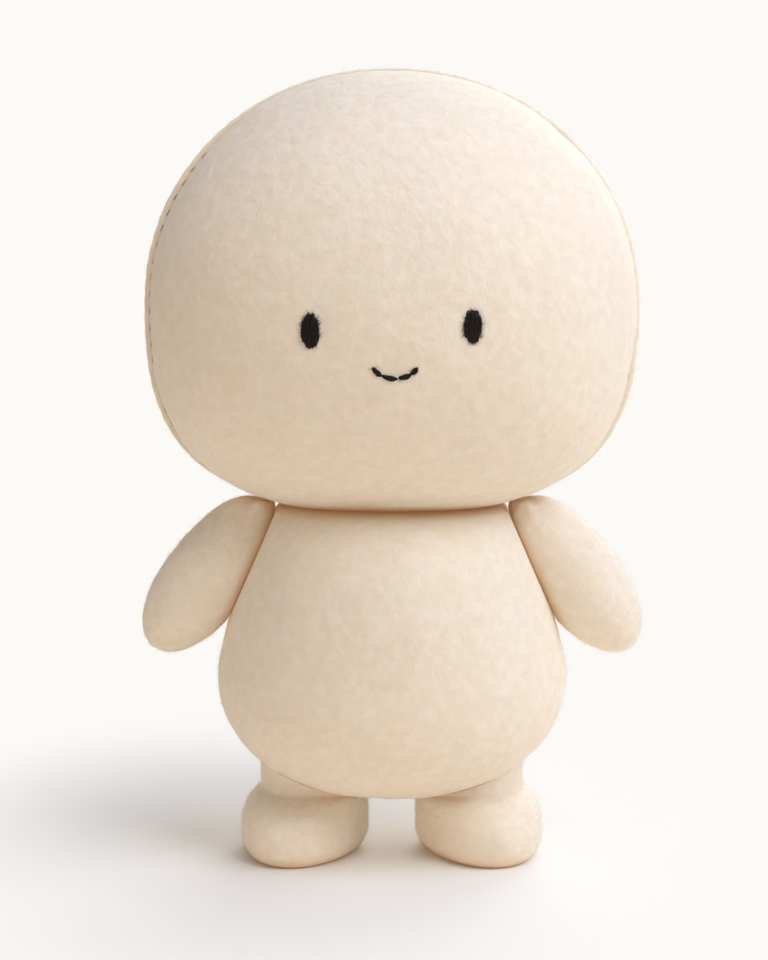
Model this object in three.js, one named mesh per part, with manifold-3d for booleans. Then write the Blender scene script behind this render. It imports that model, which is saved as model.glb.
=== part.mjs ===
// A sewn felt doll, 240 mm tall, in millimetres with +Z up. It stands on the origin and faces -Y.
// Wool felt panels make its skin and fibre stuffing fills them. The head and both arms are held by
// a pair of discs and a cotter pin each, so that they turn, and the legs are sewn under the body.

import * as THREE from "three";
import { mergeVertices } from "three/addons/utils/BufferGeometryUtils.js";
import Module from "manifold-3d";

const wasm = await Module();
wasm.setup();

// Felt and clearances
const FELT = 1.3;
const SEWN_GAP = 0.3;
const INNER_GAP = 0.3;
const RUNNING_GAP = 0.4;
const HOLE_CLEARANCE = 0.25;

// Body: the widest level stands this far above the floor and below the neck
const BODY_UNDERSIDE = 18.4;
const BODY_DROP = 39;
const BODY_RISE = 51.6;
const BODY_HALF_WIDTH = 53.3;
const BODY_HALF_DEPTH = 44.5;
const BODY_SHOULDER_TAPER = 0.28;
const BODY_TAPER_POWER = 1.25;
const BODY_TOP_POWER = 9;
const BODY_BOTTOM_POWER = 2.25;
const BODY_DEPTH_POWER = 3.2;
const BODY_NECK_FLAT = 1;

// Head, with the raised edge that its two panels make where they are sewn
const HEAD_RISE = 69;
const HEAD_DROP = 62.1;
const HEAD_HALF_WIDTH = 72.3;
const HEAD_HALF_DEPTH = 56;
const HEAD_TOP_POWER = 2.06;
const HEAD_BOTTOM_POWER = 2.7;
const HEAD_DEPTH_POWER = 2;
const HEAD_SECTION_POWER = 2.15;
const HEAD_NECK_FLAT = 2.2;
const RIM_HEIGHT = 2;
const RIM_THICKNESS = 1.2;
const RIM_RISES_FROM = 0.1;
const RIM_FULL_FROM = 0.3;
const RIM_CROWN_POWER = 0.5;

// Arms: they swell from the shoulder's radius towards the hand's, and lean out from the body's side
const ARM_LENGTH = 56.4;
const ARM_SHOULDER_RADIUS = 12;
const ARM_HAND_RADIUS = 14.5;
const ARM_SHOULDER_POWER = 2.5;
const ARM_HAND_POWER = 2.05;
const ARM_LEAN_DEG = 14.8;
const ARM_OFF_BODY = 3.5;
const SHOULDER_BELOW_NECK = 11.2;
const SHOULDER_FLAT = 2.5;
const HEAD_TO_SHOULDER = 1;

// Legs and feet, with the toes turned out
const LEG_SPREAD = 23.9;
const LEG_RADIUS = 16.5;
const LEG_SET_BACK = 4;
const FOOT_TOE = 30;
const FOOT_HEEL = 17.5;
const FOOT_HALF_WIDTH = 19;
const FOOT_HEIGHT = 19;
const FOOT_WIDEST = 8;
const FOOT_OUTWARD = 2.4;
const FOOT_EDGE = 3.2;
const FOOT_TURNED_DEG = 15;
const INSOLE = 0.8;
const FOOT_SHARE = 0.75;
const PLATE_STEPS = 7;

// Neck joint and shoulder joints: fibreboard disc, steel washer and cotter pin
const NECK = { disc: 12, board: 1.6, washer: 6, steel: 0.8, wire: 0.7, loop: 2.4, curl: 2 };
const SHOULDER = { disc: 6, board: 1.5, washer: 3.6, steel: 0.6, wire: 0.5, loop: 1.5, curl: 1.4 };
const WIRES_APART = 0.2;
const BOARD_SIDES = 20;
const WASHER_SIDES = 12;
const WIRE_SIDES = 6;
const CURL_STEPS = 7;
const LOOP_STEPS = 10;
const PIN_STEPS = 44;

// How finely slopes and the arms' fit under the head are worked out, and how near points are merged
const SLOPE_STEP = 0.01;
const FIT_PASSES = 4;
const FIT_SAMPLES = 24;
const MERGED_WITHIN = 1e-4;

// Face, sewn in black thread
const EYE_SPACING = 45.8;
const EYE_HEIGHT = -1.1;
const EYE_TILT = 0.6;
const EYE_HALF_WIDTH = 3;
const EYE_HALF_HEIGHT = 5.2;
const EYE_RAISED = 1.1;
const EYE_STEPS = 8;
const EYES_OFF_CENTRE = -0.3;
const MOUTH_OFF_CENTRE = 0.7;
const MOUTH_WIDTH = 12.8;
const MOUTH_SAG = 3.1;
const MOUTH_BELOW = 11;
const MOUTH_STITCHES = 4;
const STITCH_GAP = 0.5;
const THREAD_RADIUS = 0.65;
const THREAD_SEAT = 0.05;
const STITCH_STEPS = 6;
const STITCH_SIDES = 6;
const STITCH_END_POWER = 0.5;

// Places that follow from the sizes
const BODY_CENTRE_Z = BODY_UNDERSIDE + BODY_DROP;
const NECK_Z = BODY_CENTRE_Z + BODY_RISE - BODY_NECK_FLAT + RUNNING_GAP / 2;
const HEAD_CENTRE_Z = NECK_Z + RUNNING_GAP / 2 - HEAD_NECK_FLAT + HEAD_DROP;
const EYE_Z = HEAD_CENTRE_Z + EYE_HEIGHT;

const UP = new THREE.Vector3(0, 0, 1);
const BACK = new THREE.Vector3(0, 1, 0);
const FRONT = new THREE.Vector3(0, -1, 0);
const CORE_INSET = FELT + INNER_GAP;

const finish = (color, roughness, metalness = 0) => ({ color, roughness, metalness });
const FELT_FINISH = finish(0xefe2cd, 0.95);
const STUFFING_FINISH = finish(0xf4f1ea, 1);
const THREAD_FINISH = finish(0x1b1918, 0.7);
const BOARD_FINISH = finish(0x8a6a48, 0.8);
const CARD_FINISH = finish(0xb59b74, 0.9);
const STEEL_FINISH = finish(0xb9bcc0, 0.35, 1);

const root = new THREE.Group();

function add(name, geometry, look, parent = root) {
  const mesh = new THREE.Mesh(geometry, new THREE.MeshStandardMaterial(look));
  mesh.name = name;
  parent.add(mesh);
  return mesh;
}

// Booleans between closed geometries
function solidOf(geometry) {
  const bare = new THREE.BufferGeometry();
  bare.setAttribute("position", geometry.getAttribute("position").clone());
  bare.setIndex(geometry.index);
  const merged = mergeVertices(bare, MERGED_WITHIN);
  return new wasm.Manifold(
    new wasm.Mesh({
      numProp: 3,
      vertProperties: new Float32Array(merged.attributes.position.array),
      triVerts: new Uint32Array(merged.index.array),
    }),
  );
}

function cut(geometry, ...tools) {
  let left = solidOf(geometry);
  for (const tool of tools) {
    left = left.subtract(solidOf(tool));
  }
  const mesh = left.getMesh();
  const made = new THREE.BufferGeometry();
  made.setAttribute("position", new THREE.BufferAttribute(mesh.vertProperties, 3));
  made.setIndex(new THREE.BufferAttribute(mesh.triVerts, 1));
  made.computeVertexNormals();
  return made;
}

// A closed skin over rows of points that climb a form. Each row runs round it, anticlockwise from above.
// Its four-sided patches fold along one diagonal or the other.
function loft(rows, foldsBack = false) {
  const columns = rows[0].length;
  const points = rows.flat().flatMap((p) => [p.x, p.y, p.z]);
  const bare = new THREE.BufferGeometry();
  bare.setAttribute("position", new THREE.Float32BufferAttribute(points, 3));
  const faces = [];
  for (let i = 0; i < rows.length - 1; i++) {
    for (let j = 0; j < columns; j++) {
      const a = i * columns + j;
      const b = i * columns + ((j + 1) % columns);
      const c = b + columns;
      const d = a + columns;
      faces.push(...(foldsBack ? [a, b, d, b, c, d] : [a, b, c, a, c, d]));
    }
  }
  bare.setIndex(faces);
  const merged = mergeVertices(bare, MERGED_WITHIN);
  const index = merged.index.array;
  const kept = [];
  for (let i = 0; i < index.length; i += 3) {
    const [a, b, c] = index.subarray(i, i + 3);
    if (a !== b && b !== c && c !== a) {
      kept.push(a, b, c);
    }
  }
  merged.setIndex(kept);
  merged.computeVertexNormals();
  return merged;
}

// Stuffed forms. at(v, angle, inset) is a point of the form: v climbs from 0 to 1, the angle goes round,
// and the inset shrinks the form evenly, for the inner face of the felt and for the stuffing.
const power = (value, exponent) => Math.sign(value) * Math.abs(value) ** exponent;
const swell = (u, exponent) => Math.max(0, 1 - Math.abs(u) ** exponent) ** (1 / exponent);
const levelOf = (v) => Math.sin(Math.PI * (v - 0.5));

// Presses a point flat on a plane that it would pass.
function press(point, origin, outward, inset) {
  const past = point.clone().sub(origin).dot(outward) + Math.max(0, inset);
  return past > 0 ? point.addScaledVector(outward, -past) : point;
}

function headAt(v, angle, inset) {
  const u = levelOf(v);
  const outline = u > 0 ? HEAD_TOP_POWER : HEAD_BOTTOM_POWER;
  const height = (u > 0 ? HEAD_RISE : HEAD_DROP) - inset;
  const x = (HEAD_HALF_WIDTH - inset) * swell(u, outline);
  const y = (HEAD_HALF_DEPTH - inset) * swell(u, HEAD_DEPTH_POWER);
  const point = new THREE.Vector3(
    x * power(Math.cos(angle), 2 / HEAD_SECTION_POWER),
    y * power(Math.sin(angle), 2 / HEAD_SECTION_POWER),
    HEAD_CENTRE_Z + u * height,
  );
  const flat = new THREE.Vector3(0, 0, NECK_Z + RUNNING_GAP / 2);
  return press(point, flat, new THREE.Vector3(0, 0, -1), inset);
}

function bodyHalfWidth(u, inset) {
  if (u < 0) {
    return (BODY_HALF_WIDTH - inset) * swell(u, BODY_BOTTOM_POWER);
  }
  const taper = 1 - BODY_SHOULDER_TAPER * u ** BODY_TAPER_POWER;
  return (BODY_HALF_WIDTH * taper - inset) * swell(u, BODY_TOP_POWER);
}

function bodyHalfDepth(u, inset) {
  return (BODY_HALF_DEPTH - inset) * swell(u, u < 0 ? BODY_BOTTOM_POWER : BODY_DEPTH_POWER);
}

// The shoulder joint stands square on the body's side, at its own height below the neck.
function shoulderSeat() {
  const level = (BODY_RISE - BODY_NECK_FLAT - SHOULDER_BELOW_NECK) / BODY_RISE;
  const below = bodyHalfWidth(level - SLOPE_STEP, 0);
  const above = bodyHalfWidth(level + SLOPE_STEP, 0);
  const lean = (below - above) / (2 * SLOPE_STEP * BODY_RISE);
  const outward = new THREE.Vector3(1, 0, lean).normalize();
  const onBody = new THREE.Vector3(bodyHalfWidth(level, 0), 0, BODY_CENTRE_Z + level * BODY_RISE);
  return { origin: onBody.addScaledVector(outward, -SHOULDER_FLAT), outward };
}

const SEAT = shoulderSeat();
const mirrored = (p) => new THREE.Vector3(-p.x, p.y, p.z);

function bodyAt(v, angle, inset) {
  const u = levelOf(v);
  const height = (u > 0 ? BODY_RISE : BODY_DROP) - inset;
  const point = new THREE.Vector3(
    bodyHalfWidth(u, inset) * Math.cos(angle),
    bodyHalfDepth(u, inset) * Math.sin(angle),
    BODY_CENTRE_Z + u * height,
  );
  press(point, SEAT.origin, SEAT.outward, inset);
  press(point, mirrored(SEAT.origin), mirrored(SEAT.outward), inset);
  return press(point, new THREE.Vector3(0, 0, NECK_Z - RUNNING_GAP / 2), UP, inset);
}

// The lowest that the turning head comes at a distance from its axis
function headUnderside(distance) {
  return HEAD_CENTRE_Z - HEAD_DROP * swell(Math.min(1, distance / (HEAD_HALF_WIDTH + RIM_HEIGHT)), HEAD_BOTTOM_POWER);
}

function armPoint(frame, v, angle, inset) {
  const u = levelOf(v);
  const radius = THREE.MathUtils.lerp(ARM_SHOULDER_RADIUS, ARM_HAND_RADIUS, (u + 1) / 2) - inset;
  const round = radius * swell(u, u < 0 ? ARM_SHOULDER_POWER : ARM_HAND_POWER);
  return new THREE.Vector3(
    round * Math.cos(angle),
    round * Math.sin(angle),
    ARM_LENGTH / 2 + u * (ARM_LENGTH / 2 - inset),
  ).applyMatrix4(frame);
}

// The arm leans out from the seat's plane, and lies as high on it as the turning head leaves room for.
function armFrame() {
  const away = SEAT.outward;
  const down = new THREE.Vector3(away.z, 0, -away.x);
  const lean = THREE.MathUtils.degToRad(ARM_LEAN_DEG);
  const along = down.clone().multiplyScalar(Math.cos(lean)).addScaledVector(away, Math.sin(lean));
  const out = new THREE.Vector3(-along.z, 0, along.x);
  const start = SEAT.origin.clone().addScaledVector(away, RUNNING_GAP + ARM_OFF_BODY);
  const frame = new THREE.Matrix4().makeBasis(out, new THREE.Vector3(0, -1, 0), along);
  for (let pass = 0; pass < FIT_PASSES; pass++) {
    frame.setPosition(start);
    let past = -Infinity;
    for (let i = 0; i < FIT_SAMPLES ** 2; i++) {
      const v = Math.floor(i / FIT_SAMPLES) / FIT_SAMPLES;
      const p = armPoint(frame, v, (2 * Math.PI * i) / FIT_SAMPLES, 0);
      past = Math.max(past, p.z + HEAD_TO_SHOULDER - headUnderside(Math.hypot(p.x, p.y)));
    }
    start.addScaledVector(down, past / -down.z);
  }
  return frame.setPosition(start);
}

const ARM_FRAME = armFrame();

function armAt(v, angle, inset) {
  const plane = SEAT.origin.clone().addScaledVector(SEAT.outward, RUNNING_GAP);
  return press(armPoint(ARM_FRAME, v, angle, inset), plane, SEAT.outward.clone().negate(), inset);
}

// A leg with its foot, whose toe points along the frame's X
const LEG_FRAME = new THREE.Matrix4()
  .makeRotationZ(THREE.MathUtils.degToRad(FOOT_TURNED_DEG - 90))
  .setPosition(LEG_SPREAD, LEG_SET_BACK, 0);
const LEG_TOP_Z = BODY_UNDERSIDE + BODY_DROP / 2;

function footOutline(toe, heel, half, angle) {
  const x = Math.cos(angle) > 0 ? toe : heel;
  return new THREE.Vector2(x * Math.cos(angle), half * Math.sin(angle));
}

function legAt(v, angle, inset) {
  const bottom = FELT + SEWN_GAP + (inset > FELT ? INSOLE + INNER_GAP : 0);
  if (v > FOOT_SHARE) {
    const z = THREE.MathUtils.mapLinear(v, FOOT_SHARE, 1, FOOT_HEIGHT - inset, LEG_TOP_Z);
    const p = footOutline(LEG_RADIUS - inset, LEG_RADIUS - inset, LEG_RADIUS - inset, angle);
    return new THREE.Vector3(p.x, p.y, z).applyMatrix4(LEG_FRAME);
  }
  const turn = Math.PI * (v / FOOT_SHARE - 0.5);
  const rise = Math.sin(turn);
  const top = FOOT_HEIGHT - inset;
  const z = rise > 0 ? FOOT_WIDEST + (top - FOOT_WIDEST) * rise : FOOT_WIDEST + (FOOT_WIDEST - bottom) * rise;
  const grown = rise > 0 ? Math.cos(turn) : 1;
  const tucked = rise > 0 ? 0 : FOOT_EDGE * (1 - Math.cos(turn));
  const full = (foot) => LEG_RADIUS + (foot - LEG_RADIUS) * grown - inset - tucked;
  const p = footOutline(full(FOOT_TOE), full(FOOT_HEEL), full(FOOT_HALF_WIDTH), angle);
  return new THREE.Vector3(p.x, p.y + FOOT_OUTWARD * grown, z).applyMatrix4(LEG_FRAME);
}

// How far a panel's face stands off the seam: by the rim's thickness where it is sewn, less on its crown
const rimLift = (thickness, v, round) => thickness * (1 - round * Math.sin(Math.PI * v) ** RIM_CROWN_POWER);

// One felt panel: a shell over the half of a form that begins at an angle, with a raised rim if it has one
function panel(at, start, middle, size) {
  const { rows, columns, rim = 0, rimThickness = 0, open = false } = size;
  const seam = middle.clone().multiplyScalar(SEWN_GAP / 2);
  const lifted = (v, local) => seam.clone().addScaledVector(middle, rimLift(rimThickness, v, Math.sin(local)));
  const end = start + Math.PI;
  const skins = [];
  for (let i = 0; i <= rows; i++) {
    const v = i / rows;
    const tip = -rim * THREE.MathUtils.smoothstep(v, RIM_RISES_FROM, RIM_FULL_FROM);
    const outer = [];
    const inner = [];
    for (let j = 0; j <= columns; j++) {
      const local = (Math.PI * j) / columns;
      outer.push(at(v, start + local, 0).add(lifted(v, local)));
      inner.push(at(v, start + local, FELT).add(seam));
    }
    if (rim) {
      outer.unshift(at(v, start, tip).add(seam), at(v, start, tip).add(lifted(v, 0)));
      outer.push(at(v, end, tip).add(lifted(v, 0)), at(v, end, tip).add(seam));
    }
    skins.push({ outer, inner: inner.reverse() });
  }
  const closed = skins.map((skin) => [...skin.outer, ...skin.inner]);
  if (open) {
    const folded = (skin) => [...skin.inner.slice().reverse(), ...skin.inner];
    closed.unshift(folded(skins[0]));
    closed.push(folded(skins[rows]));
  }
  return loft(closed);
}

// A form made solid, closed at both ends, with its facets parallel to those of its panels
function filled(at, { rows, columns }, inset = CORE_INSET) {
  const rings = [];
  for (let i = 0; i <= rows; i++) {
    const ring = [];
    for (let j = 0; j < 2 * columns; j++) {
      ring.push(at(i / rows, (Math.PI * j) / columns, inset));
    }
    rings.push(ring);
  }
  const ends = [rings[0], rings[rows]].map((ring) => {
    const middle = ring.reduce((sum, p) => sum.add(p), new THREE.Vector3()).divideScalar(ring.length);
    return ring.map(() => middle);
  });
  return loft([ends[0], ...rings, ends[1]], true);
}

// A flat plate with the foot's outline, drawn in by an inset
function footPlate(inset, from, thickness) {
  const outline = new THREE.Shape();
  const half = FOOT_HALF_WIDTH - inset;
  outline.absellipse(0, FOOT_OUTWARD, FOOT_TOE - inset, half, -Math.PI / 2, Math.PI / 2);
  outline.absellipse(0, FOOT_OUTWARD, FOOT_HEEL - inset, half, Math.PI / 2, 1.5 * Math.PI);
  const options = { depth: thickness, curveSegments: PLATE_STEPS, bevelEnabled: false };
  const plate = new THREE.ExtrudeGeometry(outline, options);
  return plate.translate(0, 0, from).applyMatrix4(LEG_FRAME);
}

// A point in front of the face, above its felt by `out`
function faceAt(x, z, out) {
  const u = (z - HEAD_CENTRE_Z) / (z > HEAD_CENTRE_Z ? HEAD_RISE : HEAD_DROP);
  const outline = u > 0 ? HEAD_TOP_POWER : HEAD_BOTTOM_POWER;
  const across = Math.abs(x) / (HEAD_HALF_WIDTH * swell(u, outline));
  const round = Math.sqrt(1 - across ** HEAD_SECTION_POWER);
  const depth = HEAD_HALF_DEPTH * swell(u, HEAD_DEPTH_POWER) * round ** (2 / HEAD_SECTION_POWER);
  const lift = rimLift(RIM_THICKNESS, Math.asin(u) / Math.PI + 0.5, round);
  return new THREE.Vector3(x, -depth - SEWN_GAP / 2 - lift - THREAD_SEAT - out, z);
}

// A satin-stitched eye: an oval that swells out of the face
function eye(x, z) {
  const rows = [];
  for (let i = 0; i <= EYE_STEPS; i++) {
    const up = levelOf(i / EYE_STEPS);
    const half = EYE_HALF_WIDTH * Math.sqrt(1 - up ** 2);
    const front = [];
    const back = [];
    for (let j = 0; j <= EYE_STEPS; j++) {
      const side = levelOf(j / EYE_STEPS);
      const raised = EYE_RAISED * Math.sqrt((1 - up ** 2) * (1 - side ** 2));
      front.push(faceAt(x + side * half, z + up * EYE_HALF_HEIGHT, raised));
      back.unshift(faceAt(x + side * half, z + up * EYE_HALF_HEIGHT, 0));
    }
    rows.push([...front, ...back]);
  }
  return loft(rows);
}

// One stitch of the mouth: a strand that tapers into the felt at both ends, on the arc of the smile
function mouthStitch(index) {
  const radius = ((MOUTH_WIDTH / 2) ** 2 + MOUTH_SAG ** 2) / (2 * MOUTH_SAG);
  const halfTurn = Math.asin(MOUTH_WIDTH / 2 / radius);
  const length = (2 * radius * halfTurn - (MOUTH_STITCHES - 1) * STITCH_GAP) / MOUTH_STITCHES;
  const first = index * (length + STITCH_GAP);
  const rows = [];
  for (let i = 0; i <= STITCH_STEPS; i++) {
    const turn = (first + (length * i) / STITCH_STEPS) / radius - halfTurn;
    const thick = THREAD_RADIUS * Math.sin((Math.PI * i) / STITCH_STEPS) ** STITCH_END_POWER;
    const bottom = EYE_Z - MOUTH_BELOW - MOUTH_SAG;
    const x = MOUTH_OFF_CENTRE + radius * Math.sin(turn);
    const centre = faceAt(x, bottom + radius * (1 - Math.cos(turn)), thick);
    const tangent = new THREE.Vector3(Math.cos(turn), 0, Math.sin(turn));
    const side = tangent.clone().cross(FRONT);
    const row = [];
    for (let j = 0; j < STITCH_SIDES; j++) {
      const round = (2 * Math.PI * j) / STITCH_SIDES;
      row.push(
        centre
          .clone()
          .addScaledVector(FRONT, thick * Math.cos(round))
          .addScaledVector(side, thick * Math.sin(round)),
      );
    }
    rows.push(row);
  }
  return loft(rows);
}

// Turned plates: the half profile starts and ends at the bore or on the axis
function ring(bore, radius, from, to, segments) {
  const profile = [
    new THREE.Vector2(bore, from),
    new THREE.Vector2(radius, from),
    new THREE.Vector2(radius, to),
    new THREE.Vector2(bore, to),
    new THREE.Vector2(bore, from),
  ];
  return new THREE.LatheGeometry(profile, segments).rotateX(Math.PI / 2);
}

function rod(radius, from, to, segments = WASHER_SIDES) {
  return new THREE.CylinderGeometry(radius, radius, Math.abs(to - from), segments)
    .rotateX(Math.PI / 2)
    .translate(0, 0, (from + to) / 2);
}

// A cotter pin: one wire with a loop at the top, two legs side by side, and both ends curled outwards
function cotterPin(size, loopAt, curlAt) {
  const { wire, loop, curl } = size;
  const leg = wire + WIRES_APART / 2;
  const opening = Math.asin(leg / loop);
  const loopCentre = loopAt + wire + Math.sqrt(loop ** 2 - leg ** 2);
  const curlEnd = [];
  const eye = [];
  for (let i = 0; i <= CURL_STEPS; i++) {
    const turn = Math.PI * (1 - i / CURL_STEPS);
    curlEnd.push(new THREE.Vector3(leg + curl * (1 - Math.cos(turn)), 0, curlAt - wire - curl * Math.sin(turn)));
  }
  for (let i = 0; i <= LOOP_STEPS; i++) {
    const turn = THREE.MathUtils.lerp(opening, 2 * Math.PI - opening, i / LOOP_STEPS);
    eye.push(new THREE.Vector3(loop * Math.sin(turn), 0, loopCentre - loop * Math.cos(turn)));
  }
  const otherCurl = curlEnd.map(mirrored).reverse();
  const path = new THREE.CurvePath();
  path.add(new THREE.CatmullRomCurve3(curlEnd, false, "centripetal"));
  path.add(new THREE.LineCurve3(curlEnd.at(-1), eye[0]));
  path.add(new THREE.CatmullRomCurve3(eye, false, "centripetal"));
  path.add(new THREE.LineCurve3(eye.at(-1), otherCurl[0]));
  path.add(new THREE.CatmullRomCurve3(otherCurl, false, "centripetal"));
  const section = new THREE.Shape().absarc(0, 0, wire, 0, 2 * Math.PI);
  return new THREE.ExtrudeGeometry(section, {
    steps: PIN_STEPS,
    curveSegments: WIRE_SIDES / 2,
    bevelEnabled: false,
    extrudePath: path,
  });
}

// A disc joint, with its middle between the two felts and +Z towards the piece that turns
function discJoint(size, frame) {
  const board = RUNNING_GAP / 2 + FELT + INNER_GAP;
  const washer = board + size.board + INNER_GAP;
  const pin = washer + size.steel + INNER_GAP;
  const bore = 2 * size.wire + WIRES_APART / 2 + HOLE_CLEARANCE;
  const deep = pin + 2 * (size.wire + Math.max(size.loop, size.curl)) + INNER_GAP;
  const wide = Math.max(size.washer, 2 * size.curl + 3 * size.wire) + INNER_GAP;
  const placed = (geometry) => geometry.applyMatrix4(frame);
  const roomOn = (side) => [
    placed(rod(size.disc + INNER_GAP, side * washer, 0, BOARD_SIDES)),
    placed(rod(wide, side * deep, 0)),
  ];
  return {
    hole: placed(rod(bore, -washer, washer)),
    turningRoom: roomOn(1),
    fixedRoom: roomOn(-1),
    turningDisc: placed(ring(bore, size.disc, board, board + size.board, BOARD_SIDES)),
    fixedDisc: placed(ring(bore, size.disc, -board - size.board, -board, BOARD_SIDES)),
    turningWasher: placed(ring(bore, size.washer, washer, washer + size.steel, WASHER_SIDES)),
    fixedWasher: placed(ring(bore, size.washer, -washer - size.steel, -washer, WASHER_SIDES)),
    pin: placed(cotterPin(size, pin, -pin)),
  };
}

const neck = discJoint(NECK, new THREE.Matrix4().setPosition(0, 0, NECK_Z));
const seatFrame = new THREE.Matrix4()
  .makeBasis(new THREE.Vector3(SEAT.outward.z, 0, -SEAT.outward.x), new THREE.Vector3(0, 1, 0), SEAT.outward)
  .setPosition(SEAT.origin.clone().addScaledVector(SEAT.outward, RUNNING_GAP / 2));
const shoulder = discJoint(SHOULDER, seatFrame);
const across = (geometry) => {
  const turned = geometry.clone().scale(-1, 1, 1);
  const source = turned.index ? turned : mergeVertices(turned, MERGED_WITHIN);
  source.setIndex(Array.from(source.index.array).reverse());
  return source;
};

// Head
const headPanel = { rows: 16, columns: 10, rim: RIM_HEIGHT, rimThickness: RIM_THICKNESS };
add("head_front_panel", cut(panel(headAt, Math.PI, FRONT, headPanel), neck.hole), FELT_FINISH);
add("head_back_panel", cut(panel(headAt, 0, BACK, headPanel), neck.hole), FELT_FINISH);
add("head_stuffing", cut(filled(headAt, headPanel), ...neck.turningRoom), STUFFING_FINISH);

// Face
add("left_eye", eye(EYES_OFF_CENTRE + EYE_SPACING / 2, EYE_Z + EYE_TILT), THREAD_FINISH);
add("right_eye", eye(EYES_OFF_CENTRE - EYE_SPACING / 2, EYE_Z - EYE_TILT), THREAD_FINISH);
for (let i = 0; i < MOUTH_STITCHES; i++) {
  add(`mouth_stitch_${i + 1}`, mouthStitch(i), THREAD_FINISH);
}

// Body
const bodyPanel = { rows: 16, columns: 10 };
const bodyHoles = [neck.hole, shoulder.hole, across(shoulder.hole)];
add("torso_front_panel", cut(panel(bodyAt, Math.PI, FRONT, bodyPanel), ...bodyHoles), FELT_FINISH);
add("torso_back_panel", cut(panel(bodyAt, 0, BACK, bodyPanel), ...bodyHoles), FELT_FINISH);
const bodyRooms = [...neck.fixedRoom, ...shoulder.fixedRoom, ...shoulder.fixedRoom.map(across)];
add("torso_stuffing", cut(filled(bodyAt, bodyPanel), ...bodyRooms), STUFFING_FINISH);

// Neck joint
add("neck_head_disc", neck.turningDisc, BOARD_FINISH);
add("neck_head_washer", neck.turningWasher, STEEL_FINISH);
add("neck_torso_disc", neck.fixedDisc, BOARD_FINISH);
add("neck_torso_washer", neck.fixedWasher, STEEL_FINISH);
add("neck_cotter_pin", neck.pin, STEEL_FINISH);

// One side of the doll; the other is its mirror image
const bodySeat = filled(bodyAt, bodyPanel, -SEWN_GAP);

function sideOf(name) {
  const side = new THREE.Group();
  const armPanel = { rows: 11, columns: 6 };
  const armFront = panel(armAt, 0, FRONT, armPanel);
  const armBack = panel(armAt, Math.PI, BACK, armPanel);
  add(name + "_arm_front_panel", cut(armFront, shoulder.hole), FELT_FINISH, side);
  add(name + "_arm_back_panel", cut(armBack, shoulder.hole), FELT_FINISH, side);
  add(name + "_arm_stuffing", cut(filled(armAt, armPanel), ...shoulder.turningRoom), STUFFING_FINISH, side);
  add(name + "_arm_disc", shoulder.turningDisc, BOARD_FINISH, side);
  add(name + "_arm_washer", shoulder.turningWasher, STEEL_FINISH, side);
  add(name + "_shoulder_disc", shoulder.fixedDisc, BOARD_FINISH, side);
  add(name + "_shoulder_washer", shoulder.fixedWasher, STEEL_FINISH, side);
  add(name + "_shoulder_cotter_pin", shoulder.pin, STEEL_FINISH, side);

  const outside = new THREE.Vector3().setFromMatrixColumn(LEG_FRAME, 1);
  const legPanel = { rows: 12, columns: 7, open: true };
  const legOuter = panel(legAt, 0, outside, legPanel);
  const legInner = panel(legAt, Math.PI, outside.clone().negate(), legPanel);
  add(name + "_leg_outer_panel", cut(legOuter, bodySeat), FELT_FINISH, side);
  add(name + "_leg_inner_panel", cut(legInner, bodySeat), FELT_FINISH, side);
  add(name + "_leg_stuffing", cut(filled(legAt, legPanel), bodySeat), STUFFING_FINISH, side);
  add(name + "_sole", footPlate(FOOT_EDGE, 0, FELT), FELT_FINISH, side);
  const insoleInset = FOOT_EDGE + FELT + 2 * INNER_GAP;
  add(name + "_insole", footPlate(insoleInset, FELT + SEWN_GAP, INSOLE), CARD_FINISH, side);
  return side;
}

root.add(sideOf("left"));
const rightSide = sideOf("right");
rightSide.scale.x = -1;
root.add(rightSide);

export default root;
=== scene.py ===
"""A sewn felt doll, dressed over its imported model.

The doll faces -Y and stands on the origin. Its skin is wool felt over fibre stuffing, its face is
sewn in black thread, and disc joints carry its head and arms. All lengths are in metres.
"""

import logging
import math
from dataclasses import dataclass
from enum import Enum
from typing import Any, Callable, Sequence

import bmesh
import bpy
import numpy as np
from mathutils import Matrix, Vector, noise
from mathutils.bvhtree import BVHTree


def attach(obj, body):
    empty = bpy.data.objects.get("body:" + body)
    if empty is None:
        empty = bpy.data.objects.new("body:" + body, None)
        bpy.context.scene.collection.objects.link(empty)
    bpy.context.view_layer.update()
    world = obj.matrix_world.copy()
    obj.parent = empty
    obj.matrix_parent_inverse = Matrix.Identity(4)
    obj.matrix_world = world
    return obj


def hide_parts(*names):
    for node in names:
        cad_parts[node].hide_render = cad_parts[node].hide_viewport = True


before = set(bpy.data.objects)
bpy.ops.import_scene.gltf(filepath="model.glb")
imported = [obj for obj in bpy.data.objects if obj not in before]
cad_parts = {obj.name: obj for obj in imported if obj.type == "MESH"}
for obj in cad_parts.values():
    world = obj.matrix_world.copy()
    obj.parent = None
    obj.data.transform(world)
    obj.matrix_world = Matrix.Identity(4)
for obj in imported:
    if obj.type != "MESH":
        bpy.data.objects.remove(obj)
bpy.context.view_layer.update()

MM = 0.001
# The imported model's gaps, between sewn pieces and between two bodies.
SEWN_GAP = 0.3 * MM
RUNNING_GAP = 0.4 * MM
# What is left here of the gap between two bodies, and half of what is left of a seam's.
FELT_GAP = 0.14 * MM
CLOSED_SEAM = 0.02 * MM
FELT_THICKNESS = 1.3 * MM
RING_STEP = 0.001
TINY = 1e-6
UP = np.array([0.0, 0.0, 1.0])
MIRROR = np.array([-1.0, 1.0, 1.0])
FACES = ((-1, "front"), (1, "back"))
STUFFED_FIRMLY = 0.9
SHARP_FROM = math.radians(50)
FILLING_STEP = 1.6 * MM
FILLING_CLUMP = 7 * MM
FILLING_GAP = 0.45 * MM
FILLING_DENT = 0.4 * MM
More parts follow.
